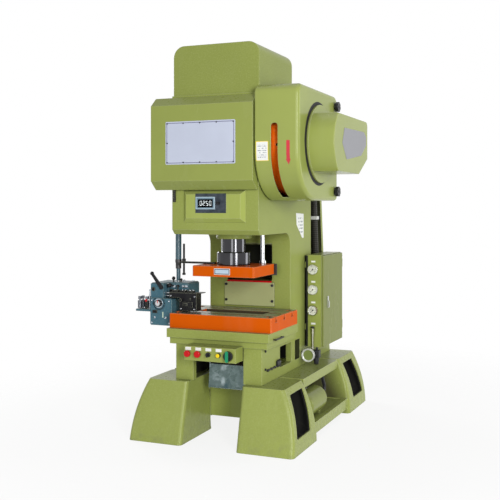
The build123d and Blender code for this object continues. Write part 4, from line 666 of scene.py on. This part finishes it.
class PRESS_OT_fittings(Operator):
    """Finish the gauges, air fittings, conduit, handle, knobs, windows and rubber parts"""

    bl_idname = "press.fittings"
    bl_label = "Fittings"

    def execute(self, context):
        dress(ground_metal("handle_chrome", (0.70, 0.71, 0.72), 0.12), "door_handle")
        dress(ground_metal("brass", (0.62, 0.47, 0.20), 0.28), "drain_knob")
        dress(moulded("rubber", (0.016, 0.016, 0.016), 0.68), "guard_seal", "drive_belt")
        dress(moulded("needle_black", (0.02, 0.02, 0.02), 0.35), *NEEDLES)
        knobs = ("guard_knob_lower", "guard_knob_upper", "regulator_knob", "display_knob", "selector_knob")
        dress(moulded("moulded_black", context.scene.press_colours.moulded_black, 0.3), *knobs)
        self.finish_gauges()
        self.finish_air_line()
        pipe = moulded("conduit_sleeve", (0.024, 0.023, 0.020), 0.4)
        ridge = (pipe.axes()[2] * RIB_TURNS).maths("SINE")
        pipe.coat(ridge.spread(0.3, 1.0) * 0.5, (0.085, 0.082, 0.066))
        pipe.relief(ridge, 0.0016, 0.8)
        clip = inside(pipe, (0.2, 0.4), None, (1.395, 1.419))
        pipe.coat(clip, (0.72, 0.73, 0.70), 0.35)
        dress(pipe, "conduit")
        glass = Finish("clear_glass", (1.0, 1.0, 1.0), 0.02)
        glass.surface.inputs["Transmission Weight"].default_value = 1.0
        glass.surface.inputs["IOR"].default_value = 1.1
        glass.roughness = glass.noise(40.0, 2.0).spread(0.4, 0.8, 0.01, 0.06)
        dress(glass, "clear_windows")
        return {"FINISHED"}

    def finish_air_line(self):
        """Black hose with metal fittings, the regulator with its green bowl, and the valve's knob."""
        line = moulded("air_hose", (0.016, 0.016, 0.018), 0.42)
        metal = line.axes()[2] > 0.45
        line.coat(metal, (0.45, 0.44, 0.36), 0.22, 1.0)
        dress(line, "air_line")
        regulator = moulded("regulator_body", (0.018, 0.019, 0.022), 0.35)
        front = regulator.axes()[1] < 0.0842
        regulator.coat(front, (0.74, 0.75, 0.74), 0.25, 0.35)
        bowl = (regulator.distance((0.349, 0.455), "xz") < 0.0355) * front
        regulator.coat(bowl, (0.20, 0.25, 0.07), 0.3, 0.0)
        dress(regulator, "filter_regulator")
        valve = moulded("valve_black", (0.016, 0.017, 0.016), 0.3)
        hub = (valve.distance((0.366, 0.632), "xz") < 0.0075) * (valve.axes()[1] < 0.1035)
        valve.coat(hub, (0.32, 0.36, 0.10), 0.35)
        dress(valve, "air_valve_knob")

    def finish_gauges(self):
        """Chromed cases with pale faces, each with a ring of ticks."""
        gauge = ground_metal("gauge_chrome", (0.72, 0.73, 0.72), 0.10)
        side, depth, height = gauge.axes()
        flat = (gauge.facing()[1] < -0.9) * (depth > 0.1145)
        beside = side - GAUGE_SIDE
        for middle in GAUGE_HEIGHTS:
            over = height - middle
            away = over.hypotenuse(beside)
            face = flat * (away < GAUGE_FACE)
            turn = over.maths("ARCTAN2", beside)
            tick = (turn * (GAUGE_TICKS / math.tau) + 90.0).fraction() < 0.35
            scale = tick * (over > -0.55 * GAUGE_FACE)
            ring = away.between(0.72 * GAUGE_FACE, 0.88 * GAUGE_FACE) * scale
            gauge.coat(face, (0.66, 0.67, 0.58), 0.4, 0.0)
            gauge.coat(face * ring, (0.03, 0.03, 0.03), 0.4)
            gauge.coat(face * (away < 0.16 * GAUGE_FACE), (0.05, 0.05, 0.05), 0.35)
        dress(gauge, "gauge_cases")


class PRESS_OT_controls(Operator):
    """Finish the push buttons, main switch, panel, plates and labels"""

    bl_idname = "press.controls"
    bl_label = "Controls"

    def execute(self, context):
        colours = context.scene.press_colours
        dress(moulded("button_red", colours.signal_red, 0.2), "stop_button_left", "stop_button_right")
        dress(moulded("button_yellow", colours.signal_yellow, 0.2), "inching_button")
        dress(moulded("bezel_black", (0.022, 0.022, 0.024), 0.24), "button_bezels")
        switch = moulded("switch_black", colours.moulded_black, 0.3)
        grip = inside(switch, (0.1205, 0.1425)) * (switch.axes()[1] < -0.7802)
        switch.coat(grip * (switch.facing()[1] < -0.6), (0.01, 0.24, 0.11), 0.28)
        dress(switch, "main_switch_knob")
        self.finish_panel(colours)
        self.finish_plates(colours)
        labels = Finish("slide_plate_labels", colours.label_white, 0.34)
        labels.soften_edges(0.0008)
        labels.coat(inside(labels, (-0.057, 0.049), None, (1.058, 1.093)), (0.030, 0.045, 0.075), 0.35)
        labels.coat(inside(labels, (-0.052, 0.044), None, (1.063, 1.088)), (0.46, 0.57, 0.68), 0.35)
        rear_scale = labels.axes()[1] > -0.3
        labels.coat(rear_scale, (0.02, 0.02, 0.022), 0.4)
        labels.relief(labels.noise(300.0, 2.0), 0.00004, 0.5)
        dress(labels, "slide_labels")
        return {"FINISHED"}

    def finish_panel(self, colours):
        """Green panel with a dark display plate, and on it a pale unit, its rim and its screen."""
        # Painted light: the panel's green lifted 1.2 times to offset the shade under the cover
        panel = enamel("panel_paint", tinted(colours.machine_green, 1.2), 0.27)
        plate = inside(panel, (-0.1195, 0.0935), (-0.73, -0.7183), (1.4515, 1.5745))
        cloud = panel.noise(30.0, 3.0).spread(0.35, 0.65)
        panel.coat(plate, panel.mix(cloud, (0.030, 0.038, 0.048, 1.0), (0.060, 0.072, 0.088, 1.0)), 0.28)
        display = (
            ((-0.1155, 0.0185), (1.4745, 1.5535), (0.40, 0.52, 0.60), 0.32),
            ((-0.1085, 0.0115), (1.4805, 1.5475), (0.16, 0.24, 0.30), 0.32),
            ((-0.0995, 0.0055), (1.4865, 1.5385), (0.008, 0.009, 0.011), 0.18),
        )
        for across, height, colour, roughness in display:
            panel.coat(inside(panel, across, (-0.73, -0.7203), height), colour, roughness)
        dress(panel, "instrument_panel")

    def finish_plates(self, colours):
        """Silver name plate with a printed border; the small labels stay white."""
        plates = Finish("bare_plate", colours.plate_silver, 0.34, specular=0.3)
        plates.soften_edges(0.0008)
        brushed = plates.noise(1.0, 3.0, (60.0, 900.0, 2400.0))
        plates.roughness = brushed.spread(0.3, 0.7, 0.28, 0.42)
        cloud = plates.noise(6.0, 3.0).spread(0.35, 0.65)
        plates.coat(cloud * 0.35, tinted(colours.plate_silver, 0.86))
        ledge = plates.axes()[1] < -0.774
        border = inside(plates, (-0.2935, 0.1745), None, (1.7625, 2.0165))
        core = inside(plates, (-0.2890, 0.1700), None, (1.7670, 2.0120))
        plates.coat(ledge * border * (1 - core), (0.15, 0.15, 0.26), 0.4)
        small = plates.axes()[1] > -0.7725
        plates.coat(small, colours.label_white, 0.4)
        plates.relief(brushed, 0.00002, 0.4)
        dress(plates, "bare_plates")


# Pieces that only the render has

def lay_on_guard(shape):
    """Bends a shape made at the guard's flat front down round the guard's lower radius."""
    bend_start = GUARD_UNDERSIDE + GUARD_RADIUS
    for vertex in shape.verts:
        drop = bend_start - vertex.co.z
        if drop > 0:
            angle = drop / GUARD_RADIUS
            reach = GUARD_RADIUS + GUARD_FRONT - vertex.co.y
            vertex.co.y = GUARD_FRONT + GUARD_RADIUS - reach * math.cos(angle)
            vertex.co.z = bend_start - reach * math.sin(angle)


def sliced(shape, low, high, count):
    """Cuts the shape level at equal steps so that it can bend."""
    for step in range(1, count):
        cut = low + (high - low) * step / count
        geometry = shape.verts[:] + shape.edges[:] + shape.faces[:]
        bmesh.ops.bisect_plane(shape, geom=geometry, plane_co=(0, 0, cut), plane_no=(0, 0, 1))


def rod(shape, start, aim, radius, length, steps=20):
    """Adds a round bar with eased ends, from start along aim."""
    ease = radius * 0.2
    profile = [
        (0.0, 0.0), (radius - ease, 0.0), (radius, ease),
        (radius, length - ease), (radius - ease, length), (0.0, length),
    ]
    turned(shape, start, aim, profile, steps)


def ball_knob(shape, place, aim, radius, stem):
    """Adds a ball knob on a stem that stands on place and points along aim."""
    middle = stem + radius * 0.8
    neck = radius * 0.4
    arc = [
        (radius * math.cos(math.radians(turn)), middle + radius * math.sin(math.radians(turn)))
        for turn in range(-60, 90, 15)
    ]
    turned(shape, place, aim, [(0.0, 0.0), (neck, 0.0), (neck, stem), *arc, (0.0, middle + radius)], 24)


def grey_rows(finish, thickness, rate, words, field, ink, roughness):
    """Prints bars that spell nothing: rate rows to the metre, thickness as a share of a row."""
    rows = (finish.axes()[2] * rate).fraction()
    finish.coat((rows < thickness) * words * field, ink, roughness)


class PRESS_OT_guard_signs(Operator):
    """Put a bare bordered label and a turning arrow on the flywheel guard"""

    bl_idname = "press.guard_signs"
    bl_label = "Guard Signs"

    def execute(self, context):
        self.add_label(context.scene.press_colours)
        self.add_arrow()
        return {"FINISHED"}

    def add_label(self, colours):
        low, high = 1.767, 1.886
        label = bmesh.new()
        block(label, (0.314, GUARD_FRONT - 0.0006, low), (0.395, GUARD_FRONT, high))
        sliced(label, low, high, 12)
        lay_on_guard(label)
        face = Finish("bare_label", colours.label_white, 0.4)
        core = inside(face, (0.3175, 0.3915), None, (1.7705, 1.8825))
        face.coat(1 - core, colours.signal_yellow, 0.4)
        words = face.noise(1.0, 1.0, (160.0, 1.0, 75.0)) > 0.48
        field = inside(face, (0.326, 0.383), None, (1.785, 1.868))
        grey_rows(face, 0.42, 75.0, words, field, (0.30, 0.32, 0.36), 0.45)
        face.roughness = face.noise(90.0, 2.0).spread(0.3, 0.7, 0.34, 0.46)
        new_piece("guard_label", label, face, "machine")

    def add_arrow(self):
        tip, barb, end = 1.742, 1.776, 1.888
        arrow = bmesh.new()
        outline = (
            (0.5110, end), (0.5110, barb), (0.5060, barb), (0.5220, tip),
            (0.5380, barb), (0.5330, barb), (0.5330, end),
        )
        add_plate(arrow, [(x, GUARD_FRONT - 0.0004, z) for x, z in outline], (0, 0.0004, 0))
        sliced(arrow, tip, end, 14)
        lay_on_guard(arrow)
        red = moulded("arrow_red", (0.60, 0.045, 0.060), 0.35)
        fade = red.axes()[2].spread(1.74, 1.86, 0.5, 0.0)
        red.coat(fade, (0.42, 0.06, 0.07))
        new_piece("turning_arrow", arrow, red, "machine")


class PRESS_OT_column_plate(Operator):
    """Put the white plate on the right column and a label above the air valve"""

    bl_idname = "press.column_plate"
    bl_label = "Column Plate"

    def execute(self, context):
        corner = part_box("air_cabinet")[0]
        plate = bmesh.new()
        outline = ((-0.040, 1.447), (0.110, 1.440), (0.110, 1.272), (0.080, 1.272), (-0.030, 1.366))
        add_plate(plate, [(corner.x + 0.0008, y, z) for y, z in outline], (-0.0007, 0, 0))
        white = Finish("column_plate_white", context.scene.press_colours.label_white, 0.35)
        words = white.noise(1.0, 1.0, (1.0, 70.0, 42.0)) > 0.5
        field = inside(white, None, (0.0, 0.095), (1.30, 1.425))
        grey_rows(white, 0.45, 42.0, words, field, (0.26, 0.30, 0.30), 0.4)
        white.relief(white.noise(200.0, 2.0), 0.00005, 0.5)
        new_piece("column_plate", plate, white, "machine")
        label = bmesh.new()
        block(label, (0.350, corner.y - 0.0009, 0.661), (0.382, corner.y - 0.0001, 0.674), 0.0003)
        new_piece("valve_label", label, white, "machine")
        return {"FINISHED"}


# Segments of a digit by their usual letters: low and high corner as shares of its width and height
SEGMENTS = {
    "a": ((0.12, 0.92), (0.88, 1.0)), "b": ((0.84, 0.52), (1.0, 0.96)), "c": ((0.84, 0.04), (1.0, 0.48)),
    "d": ((0.12, 0.0), (0.88, 0.08)), "e": ((0.0, 0.04), (0.16, 0.48)), "f": ((0.0, 0.52), (0.16, 0.96)),
    "g": ((0.12, 0.46), (0.88, 0.54)),
}
LIT_SEGMENTS = {"0": "abcdef", "2": "abged", "5": "afgcd"}


class PRESS_OT_display_digits(Operator):
    """Put plain counting digits in the display window"""

    bl_idname = "press.display_digits"
    bl_label = "Display Digits"

    def execute(self, context):
        digits = bmesh.new()
        low = Vector((-0.086, -0.72425, 1.498))
        wide, tall, pitch, thick = 0.0145, 0.029, 0.0215, 0.00015
        for place, digit in enumerate("0250"):
            left = low + Vector((place * pitch, 0.0, 0.0))
            for letter in LIT_SEGMENTS[digit]:
                start, end = SEGMENTS[letter]
                near = left + Vector((start[0] * wide, 0.0, start[1] * tall))
                block(digits, near, left + Vector((end[0] * wide, thick, end[1] * tall)))
        lit = Finish("lit_digits", (0.80, 0.84, 0.84), 0.4)
        glow = lit.noise(150.0, 1.0).spread(0.3, 0.7, 0.85, 1.0)
        lit.coat(glow * 0.3, (0.70, 0.80, 0.86))
        lit.surface.inputs["Emission Color"].default_value = (0.8, 0.9, 0.9, 1.0)
        lit.surface.inputs["Emission Strength"].default_value = 0.35
        new_piece("display_digits", digits, lit, "machine")
        return {"FINISHED"}


class PRESS_OT_gauge_numbers(Operator):
    """Print plain numbers on the three gauge faces"""

    bl_idname = "press.gauge_numbers"
    bl_label = "Gauge Numbers"

    def execute(self, context):
        numbers = bmesh.new()
        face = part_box("gauge_cases")[0].y + 0.0079
        reach = 0.58 * GAUGE_FACE
        first_turn, turn_step, size = 225, 54, 0.0085
        for middle in GAUGE_HEIGHTS:
            for count in range(6):
                turn = math.radians(first_turn - count * turn_step)
                place = (GAUGE_SIDE + reach * math.cos(turn), face, middle + reach * math.sin(turn))
                self.print_number(numbers, str(count * 2), place, size)
        ink = moulded("printed_ink", (0.03, 0.03, 0.035), 0.5)
        new_piece("gauge_numbers", numbers, ink, "machine")
        return {"FINISHED"}

    def print_number(self, shape, text, place, height):
        curve = bpy.data.curves.new("number", "FONT")
        curve.body = text
        curve.size = height
        curve.align_x = "CENTER"
        curve.align_y = "CENTER"
        curve.extrude = 0.00008
        curve.resolution_u = 2
        holder = bpy.data.objects.new("number", curve)
        mesh = bpy.data.meshes.new_from_object(holder)
        mesh.transform(Matrix.Translation(place) @ Matrix.Rotation(math.radians(90), 4, "X"))
        shape.from_mesh(mesh)
        bpy.data.meshes.remove(mesh)
        bpy.data.objects.remove(holder)
        bpy.data.curves.remove(curve)


class PRESS_OT_feeder_trim(Operator):
    """Add the feeder's scale ring, studs, screws, knobs, sight glass and gripper plates"""

    bl_idname = "press.feeder_trim"
    bl_label = "Feeder Trim"

    def execute(self, context):
        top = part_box("feeder_body")[1].z
        self.add_bright_trim(top)
        black = enamel("feeder_black_trim", FEEDER_BLACK, 0.28, 0.12)
        self.add_black_trim(top, black)
        release = bmesh.new()
        ball_knob(release, (-0.576, -0.5455, 0.866), "-y", 0.0095, 0.0)
        red = moulded("feeder_red", context.scene.press_colours.signal_red, 0.25)
        new_piece("roller_release_knob", release, red, "machine", True)
        sight = bmesh.new()
        block(sight, (-0.4485, FEEDER_FRONT - 0.002, 0.758), (-0.4395, FEEDER_FRONT, 0.796), 0.0008)
        oil = moulded("sight_glass", (0.50, 0.62, 0.50), 0.15)
        new_piece("oil_sight_glass", sight, oil, "machine")
        self.dress_carriage(black)
        return {"FINISHED"}

    def add_bright_trim(self, top):
        """Ring round the dial, screws, plates on the house and the rod beside the rolls."""
        bright = bmesh.new()
        ring = [(0.0238, 0.0), (0.0238, 0.003), (0.0305, 0.003), (0.0310, 0.0024), (0.0310, 0.0)]
        turned(bright, (DIAL[0], FEEDER_FRONT, DIAL[1]), "-y", ring + ring[:1], 48)
        for across in (-0.502, -0.420):
            cap_screw(bright, (across, FEEDER_FRONT, 0.759), "-y", 0.0075)
        for across, height in ((-0.525, 0.870), (-0.395, 0.868), (-0.525, 0.722), (-0.395, 0.722)):
            cap_screw(bright, (across, FEEDER_FRONT, height), "-y", 0.0060)
        for across in (-0.435, -0.345):
            near = (across, HOUSE_FRONT - 0.002, 0.952)
            block(bright, near, (across + 0.040, HOUSE_FRONT, 0.968), 0.0005)
        for across in (-0.400, -0.330):
            cap_screw(bright, (across, -0.350, top), "z", 0.0075)
        rod(bright, (-0.5615, -0.530, 0.790), "z", 0.0045, 0.150)
        steel = ground_metal("feeder_bright", (0.46, 0.50, 0.54), 0.22)
        new_piece("feeder_bright_trim", bright, steel, "machine", True)

    def add_black_trim(self, top, finish):
        """Ball knobs and studs on the house, the stop below the dial and the rolls' release lever."""
        black = bmesh.new()
        ball_knob(black, (-0.425, -0.450, top - 0.001), "z", 0.0125, 0.016)
        ball_knob(black, (-0.372, -0.440, top - 0.001), "z", 0.009, 0.010)
        rod(black, (-0.524, TOWER_FRONT + 0.001, 0.942), "-y", 0.0145, 0.004)
        ball_knob(black, (-0.425, HOUSE_FRONT + 0.001, 0.967), "-y", 0.016, 0.016)
        rod(black, (-0.425, HOUSE_FRONT + 0.001, 0.925), "-y", 0.017, 0.005)
        block(black, (-0.520, FEEDER_FRONT - 0.006, 0.786), (-0.486, FEEDER_FRONT, 0.806), 0.002)
        rod(black, (-0.576, -0.553, 0.866), "-y", 0.0085, 0.006)
        block(black, (-0.584, -0.554, 0.806), (-0.568, -0.546, 0.872), 0.001)
        new_piece("feeder_black_trim", black, finish, "machine", True)

    def dress_carriage(self, black):
        """Clamp plates, screws and finger bars on the gripper carriage."""
        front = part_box("feeder_carriage")[0].y
        plates = bmesh.new()
        for across in (-0.385, -0.330, -0.275):
            block(plates, (across, -0.545, CLAMP_FOOT), (across + 0.040, -0.500, CLAMP_TOP), 0.002)
        block(plates, (-0.300, front - 0.010, 0.835), (-0.222, front, 0.868), 0.003)
        block(plates, (-0.292, front - 0.016, 0.846), (-0.262, front - 0.009, 0.858), 0.002)
        rod(plates, (-0.310, front + 0.001, 0.880), "-y", 0.011, 0.020)
        rod(plates, (-0.242, front + 0.001, 0.888), "-y", 0.008, 0.014)
        ball_knob(plates, (-0.352, front + 0.030, CLAMP_FOOT), "z", 0.011, 0.028)
        new_piece("carriage_clamps", plates, black, "feed_carriage", True)
        screws = bmesh.new()
        for across in (-0.377, -0.353, -0.322, -0.298, -0.267, -0.243):
            cap_screw(screws, (across, -0.5150, CLAMP_TOP), "z", 0.0048)
        for across, height in ((-0.388, 0.904), (-0.212, 0.904), (-0.312, 0.822), (-0.212, 0.822)):
            cap_screw(screws, (across, front, height), "-y", 0.0055)
        steel = ground_metal("carriage_screws", (0.40, 0.41, 0.43), 0.24)
        new_piece("carriage_screws", screws, steel, "feed_carriage", True)


class PRESS_OT_bed_fittings(Operator):
    """Add the handle, screws and oil-line block on the right side of the bed"""

    bl_idname = "press.bed_fittings"
    bl_label = "Bed Fittings"

    def execute(self, context):
        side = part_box("air_cabinet")[0].x
        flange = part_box("frame_casting")[1].x
        handle_height = 0.664
        black = bmesh.new()
        for depth in (-0.588, -0.464):
            rod(black, (flange - 0.001, depth, handle_height), "x", 0.0045, 0.022)
        rod(black, (flange + 0.018, -0.593, handle_height), "y", 0.0055, 0.134)
        block(black, (side - 0.0005, -0.405, 0.456), (side + 0.014, -0.350, 0.492), 0.002)
        for depth in (-0.396, -0.378, -0.360):
            rod(black, (side + 0.007, depth, 0.490), "z", 0.0042, 0.012, 12)
        rod(black, (side + 0.0048, -0.565, 0.462), "y", 0.005, 0.162)
        for depth in (-0.555, -0.500, -0.445):
            block(black, (side - 0.0005, depth, 0.455), (side + 0.011, depth + 0.012, 0.470), 0.001)
        for height in (0.474, 0.588):
            cap_screw(black, (side, -0.588, height), "x", 0.0075)
        rubber = moulded("bed_fitting_black", (0.016, 0.016, 0.018), 0.32)
        new_piece("bed_handle", black, rubber, "machine", True)
        return {"FINISHED"}


class PRESS_OT_cabinet_duct(Operator):
    """Add the black cable duct along the cabinet's left edge"""

    bl_idname = "press.cabinet_duct"
    bl_label = "Cabinet Duct"

    def execute(self, context):
        low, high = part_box("air_cabinet")
        duct = bmesh.new()
        left, back = low.x + 0.0135, low.y - 0.0001
        block(duct, (left, low.y - 0.0045, low.z + 0.004), (left + 0.012, back, high.z - 0.004), 0.001)
        ribs, first_rib, pitch = 9, 0.040, 0.070
        for step in range(ribs):
            height = low.z + first_rib + step * pitch
            rib = (left - 0.001, low.y - 0.0055, height)
            block(duct, rib, (left + 0.013, back, height + 0.006), 0.0005)
        rubber = moulded("duct_black", (0.010, 0.010, 0.011), 0.45)
        new_piece("cabinet_duct", duct, rubber, "machine")
        return {"FINISHED"}


class PRESS_OT_cover_screws(Operator):
    """Add the screws that hold the cabinet, the top cover and the control box"""

    bl_idname = "press.cover_screws"
    bl_label = "Cover Screws"

    def execute(self, context):
        heads = bmesh.new()
        cabinet_low, cabinet_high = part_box("air_cabinet")
        for height in (cabinet_low.z + 0.030, cabinet_high.z - 0.030):
            for across in (cabinet_low.x + 0.025, cabinet_high.x - 0.025):
                cap_screw(heads, (across, cabinet_high.y - 0.0002, height), "y", 0.006)
        top_low, top_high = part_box("top_cover")
        for side, aim in ((top_low.x, "-x"), (top_high.x, "x")):
            for depth in (-0.55, -0.35):
                cap_screw(heads, (side, depth, top_low.z + 0.022), aim, 0.006)
        box_low, box_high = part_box("control_box")
        for across in (box_low.x + 0.012, box_high.x - 0.012):
            for height in (0.545, 0.609):
                cap_screw(heads, (across, -0.736, height), "-y", 0.004)
        steel = ground_metal("cover_screw_steel", (0.20, 0.21, 0.19), 0.3)
        new_piece("cover_screws", heads, steel, "machine", True)
        return {"FINISHED"}


class PRESS_OT_stage(Operator):
    """Set the floor, the studio light and the camera"""

    bl_idname = "press.stage"
    bl_label = "Floor, Light and Camera"

    def execute(self, context):
        settings = context.scene.press_stage
        self.lay_floor(settings)
        self.light_world(settings)
        self.hang_lamp("key_light", (4.6, -5.6, 2.2), (1.5, 3.2), settings.key_power)
        self.hang_lamp("fill_light", (0.9, -7.0, 2.0), (1.8, 3.2), settings.fill_power)
        self.hang_lamp("side_light", (4.9, 2.6, 1.8), (2.0, 3.2), settings.side_power)
        self.hang_lamp("back_light", (-5.0, 2.6, 2.6), (2.4, 3.0), settings.back_power)
        self.hang_lamp("top_light", (0.4, -0.6, 5.6), (2.4, 2.4), settings.top_power)
        lens = bpy.data.cameras.new("photo_camera")
        lens.sensor_width = 36.0
        lens.lens = 58.49
        lens.shift_x = -0.07
        lens.shift_y = -0.0894
        camera = bpy.data.objects.new("photo_camera", lens)
        camera.location = (2.2668, -5.2634, 1.5)
        camera.rotation_euler = (math.radians(90), 0.0, math.radians(21.41))
        context.scene.collection.objects.link(camera)
        context.scene.camera = camera
        context.scene.view_settings.view_transform = "Standard"
        return {"FINISHED"}

    def lay_floor(self, settings):
        shape = bmesh.new()
        bmesh.ops.create_circle(shape, cap_ends=True, radius=9.0, segments=96)
        mesh = bpy.data.meshes.new("studio_floor")
        shape.to_mesh(mesh)
        shape.free()
        tone = settings.floor_tone
        floor = Finish("studio_floor", (tone, tone, tone), 0.7, specular=0.2)
        grain = floor.noise(3.0, 3.0).spread(0.3, 0.7, 0.0, 0.03)
        floor.coat(grain, (tone * 0.9, tone * 0.9, tone * 0.88))
        seen = floor.add("ShaderNodeLightPath", output="Is Camera Ray")
        mirrored = floor.add("ShaderNodeLightPath", output="Is Glossy Ray")
        glow = floor.add("ShaderNodeEmission", {}, {"Color": (1.0, 1.0, 1.0, 1.0)})
        plain = Shade(floor, floor.surface.outputs[0])
        share = (seen + mirrored) * settings.floor_glow
        lifted = floor.add("ShaderNodeMixShader", {}, {0: share, 1: plain, 2: glow})
        clear = floor.add("ShaderNodeBsdfTransparent")
        fade_from, fade_to = 1.6, 3.4
        away = floor.distance((0.0, 0.0), "xy").spread(fade_from, fade_to)
        faded = floor.add("ShaderNodeMixShader", {}, {0: away, 1: lifted, 2: clear})
        output = next(node for node in floor.tree.nodes if node.type == "OUTPUT_MATERIAL")
        floor.tree.links.new(faded.socket, output.inputs["Surface"])
        mesh.materials.append(floor.done())
        piece = bpy.data.objects.new("studio_floor", mesh)
        bpy.context.scene.collection.objects.link(piece)

    def light_world(self, settings):
        """Even light from all round, and plain white wherever the backdrop itself is seen."""
        world = bpy.data.worlds.new("studio_world")
        world.use_nodes = True
        nodes, links = world.node_tree.nodes, world.node_tree.links
        light = next(node for node in nodes if node.type == "BACKGROUND")
        light.inputs["Color"].default_value = (1.0, 1.0, 1.0, 1.0)
        light.inputs["Strength"].default_value = settings.ambient
        white = nodes.new("ShaderNodeBackground")
        white.inputs["Color"].default_value = (1.0, 1.0, 1.0, 1.0)
        white.inputs["Strength"].default_value = 1.0
        path = nodes.new("ShaderNodeLightPath")
        seen = path.outputs["Is Camera Ray"]
        for kind in ("Is Glossy Ray", "Is Transmission Ray"):
            either = nodes.new("ShaderNodeMath")
            either.operation = "MAXIMUM"
            links.new(seen, either.inputs[0])
            links.new(path.outputs[kind], either.inputs[1])
            seen = either.outputs[0]
        choose = nodes.new("ShaderNodeMixShader")
        links.new(seen, choose.inputs[0])
        links.new(light.outputs[0], choose.inputs[1])
        links.new(white.outputs[0], choose.inputs[2])
        output = next(node for node in nodes if node.type == "OUTPUT_WORLD")
        links.new(choose.outputs[0], output.inputs["Surface"])
        bpy.context.scene.world = world

    def hang_lamp(self, name, place, size, power):
        """Hangs a soft box of the given width and height, aimed at the middle of the press."""
        aim = (0.0, -0.1, 1.25)
        light = bpy.data.lights.new(name, "AREA")
        light.shape = "RECTANGLE"
        light.size, light.size_y = size
        light.energy = power
        lamp = bpy.data.objects.new(name, light)
        lamp.location = place
        lamp.rotation_euler = (Vector(aim) - Vector(place)).to_track_quat("-Z", "Y").to_euler()
        bpy.context.scene.collection.objects.link(lamp)


STEPS = (
    PRESS_OT_green_castings,
    PRESS_OT_green_covers,
    PRESS_OT_orange_castings,
    PRESS_OT_blue_feeder,
    PRESS_OT_bare_metal,
    PRESS_OT_fittings,
    PRESS_OT_controls,
    PRESS_OT_guard_signs,
    PRESS_OT_column_plate,
    PRESS_OT_display_digits,
    PRESS_OT_gauge_numbers,
    PRESS_OT_feeder_trim,
    PRESS_OT_bed_fittings,
    PRESS_OT_cabinet_duct,
    PRESS_OT_cover_screws,
    PRESS_OT_stage,
)


class PRESS_PT_sidebar(Panel):
    """Buttons for every step, in the order that they run."""

    bl_idname = "PRESS_PT_sidebar"
    bl_label = "Stamping Press"
    bl_space_type = "VIEW_3D"
    bl_region_type = "UI"
    bl_category = "Press"

    def draw(self, context):
        for step in STEPS:
            self.layout.operator(step.bl_idname)


GROUPS = {"press_colours": PressColours, "press_wear": PressWear, "press_stage": PressStage}
CLASSES = (*GROUPS.values(), *STEPS, PRESS_PT_sidebar)


def register():
    for item in CLASSES:
        bpy.utils.register_class(item)
    for name, group in GROUPS.items():
        setattr(bpy.types.Scene, name, PointerProperty(type=group))


def unregister():
    for name in reversed(GROUPS):
        delattr(bpy.types.Scene, name)
    for item in reversed(CLASSES):
        bpy.utils.unregister_class(item)


def main():
    register()
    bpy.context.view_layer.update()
    for step in STEPS:
        group, name = step.bl_idname.split(".")
        getattr(getattr(bpy.ops, group), name)()


if __name__ == "__main__":
    main()
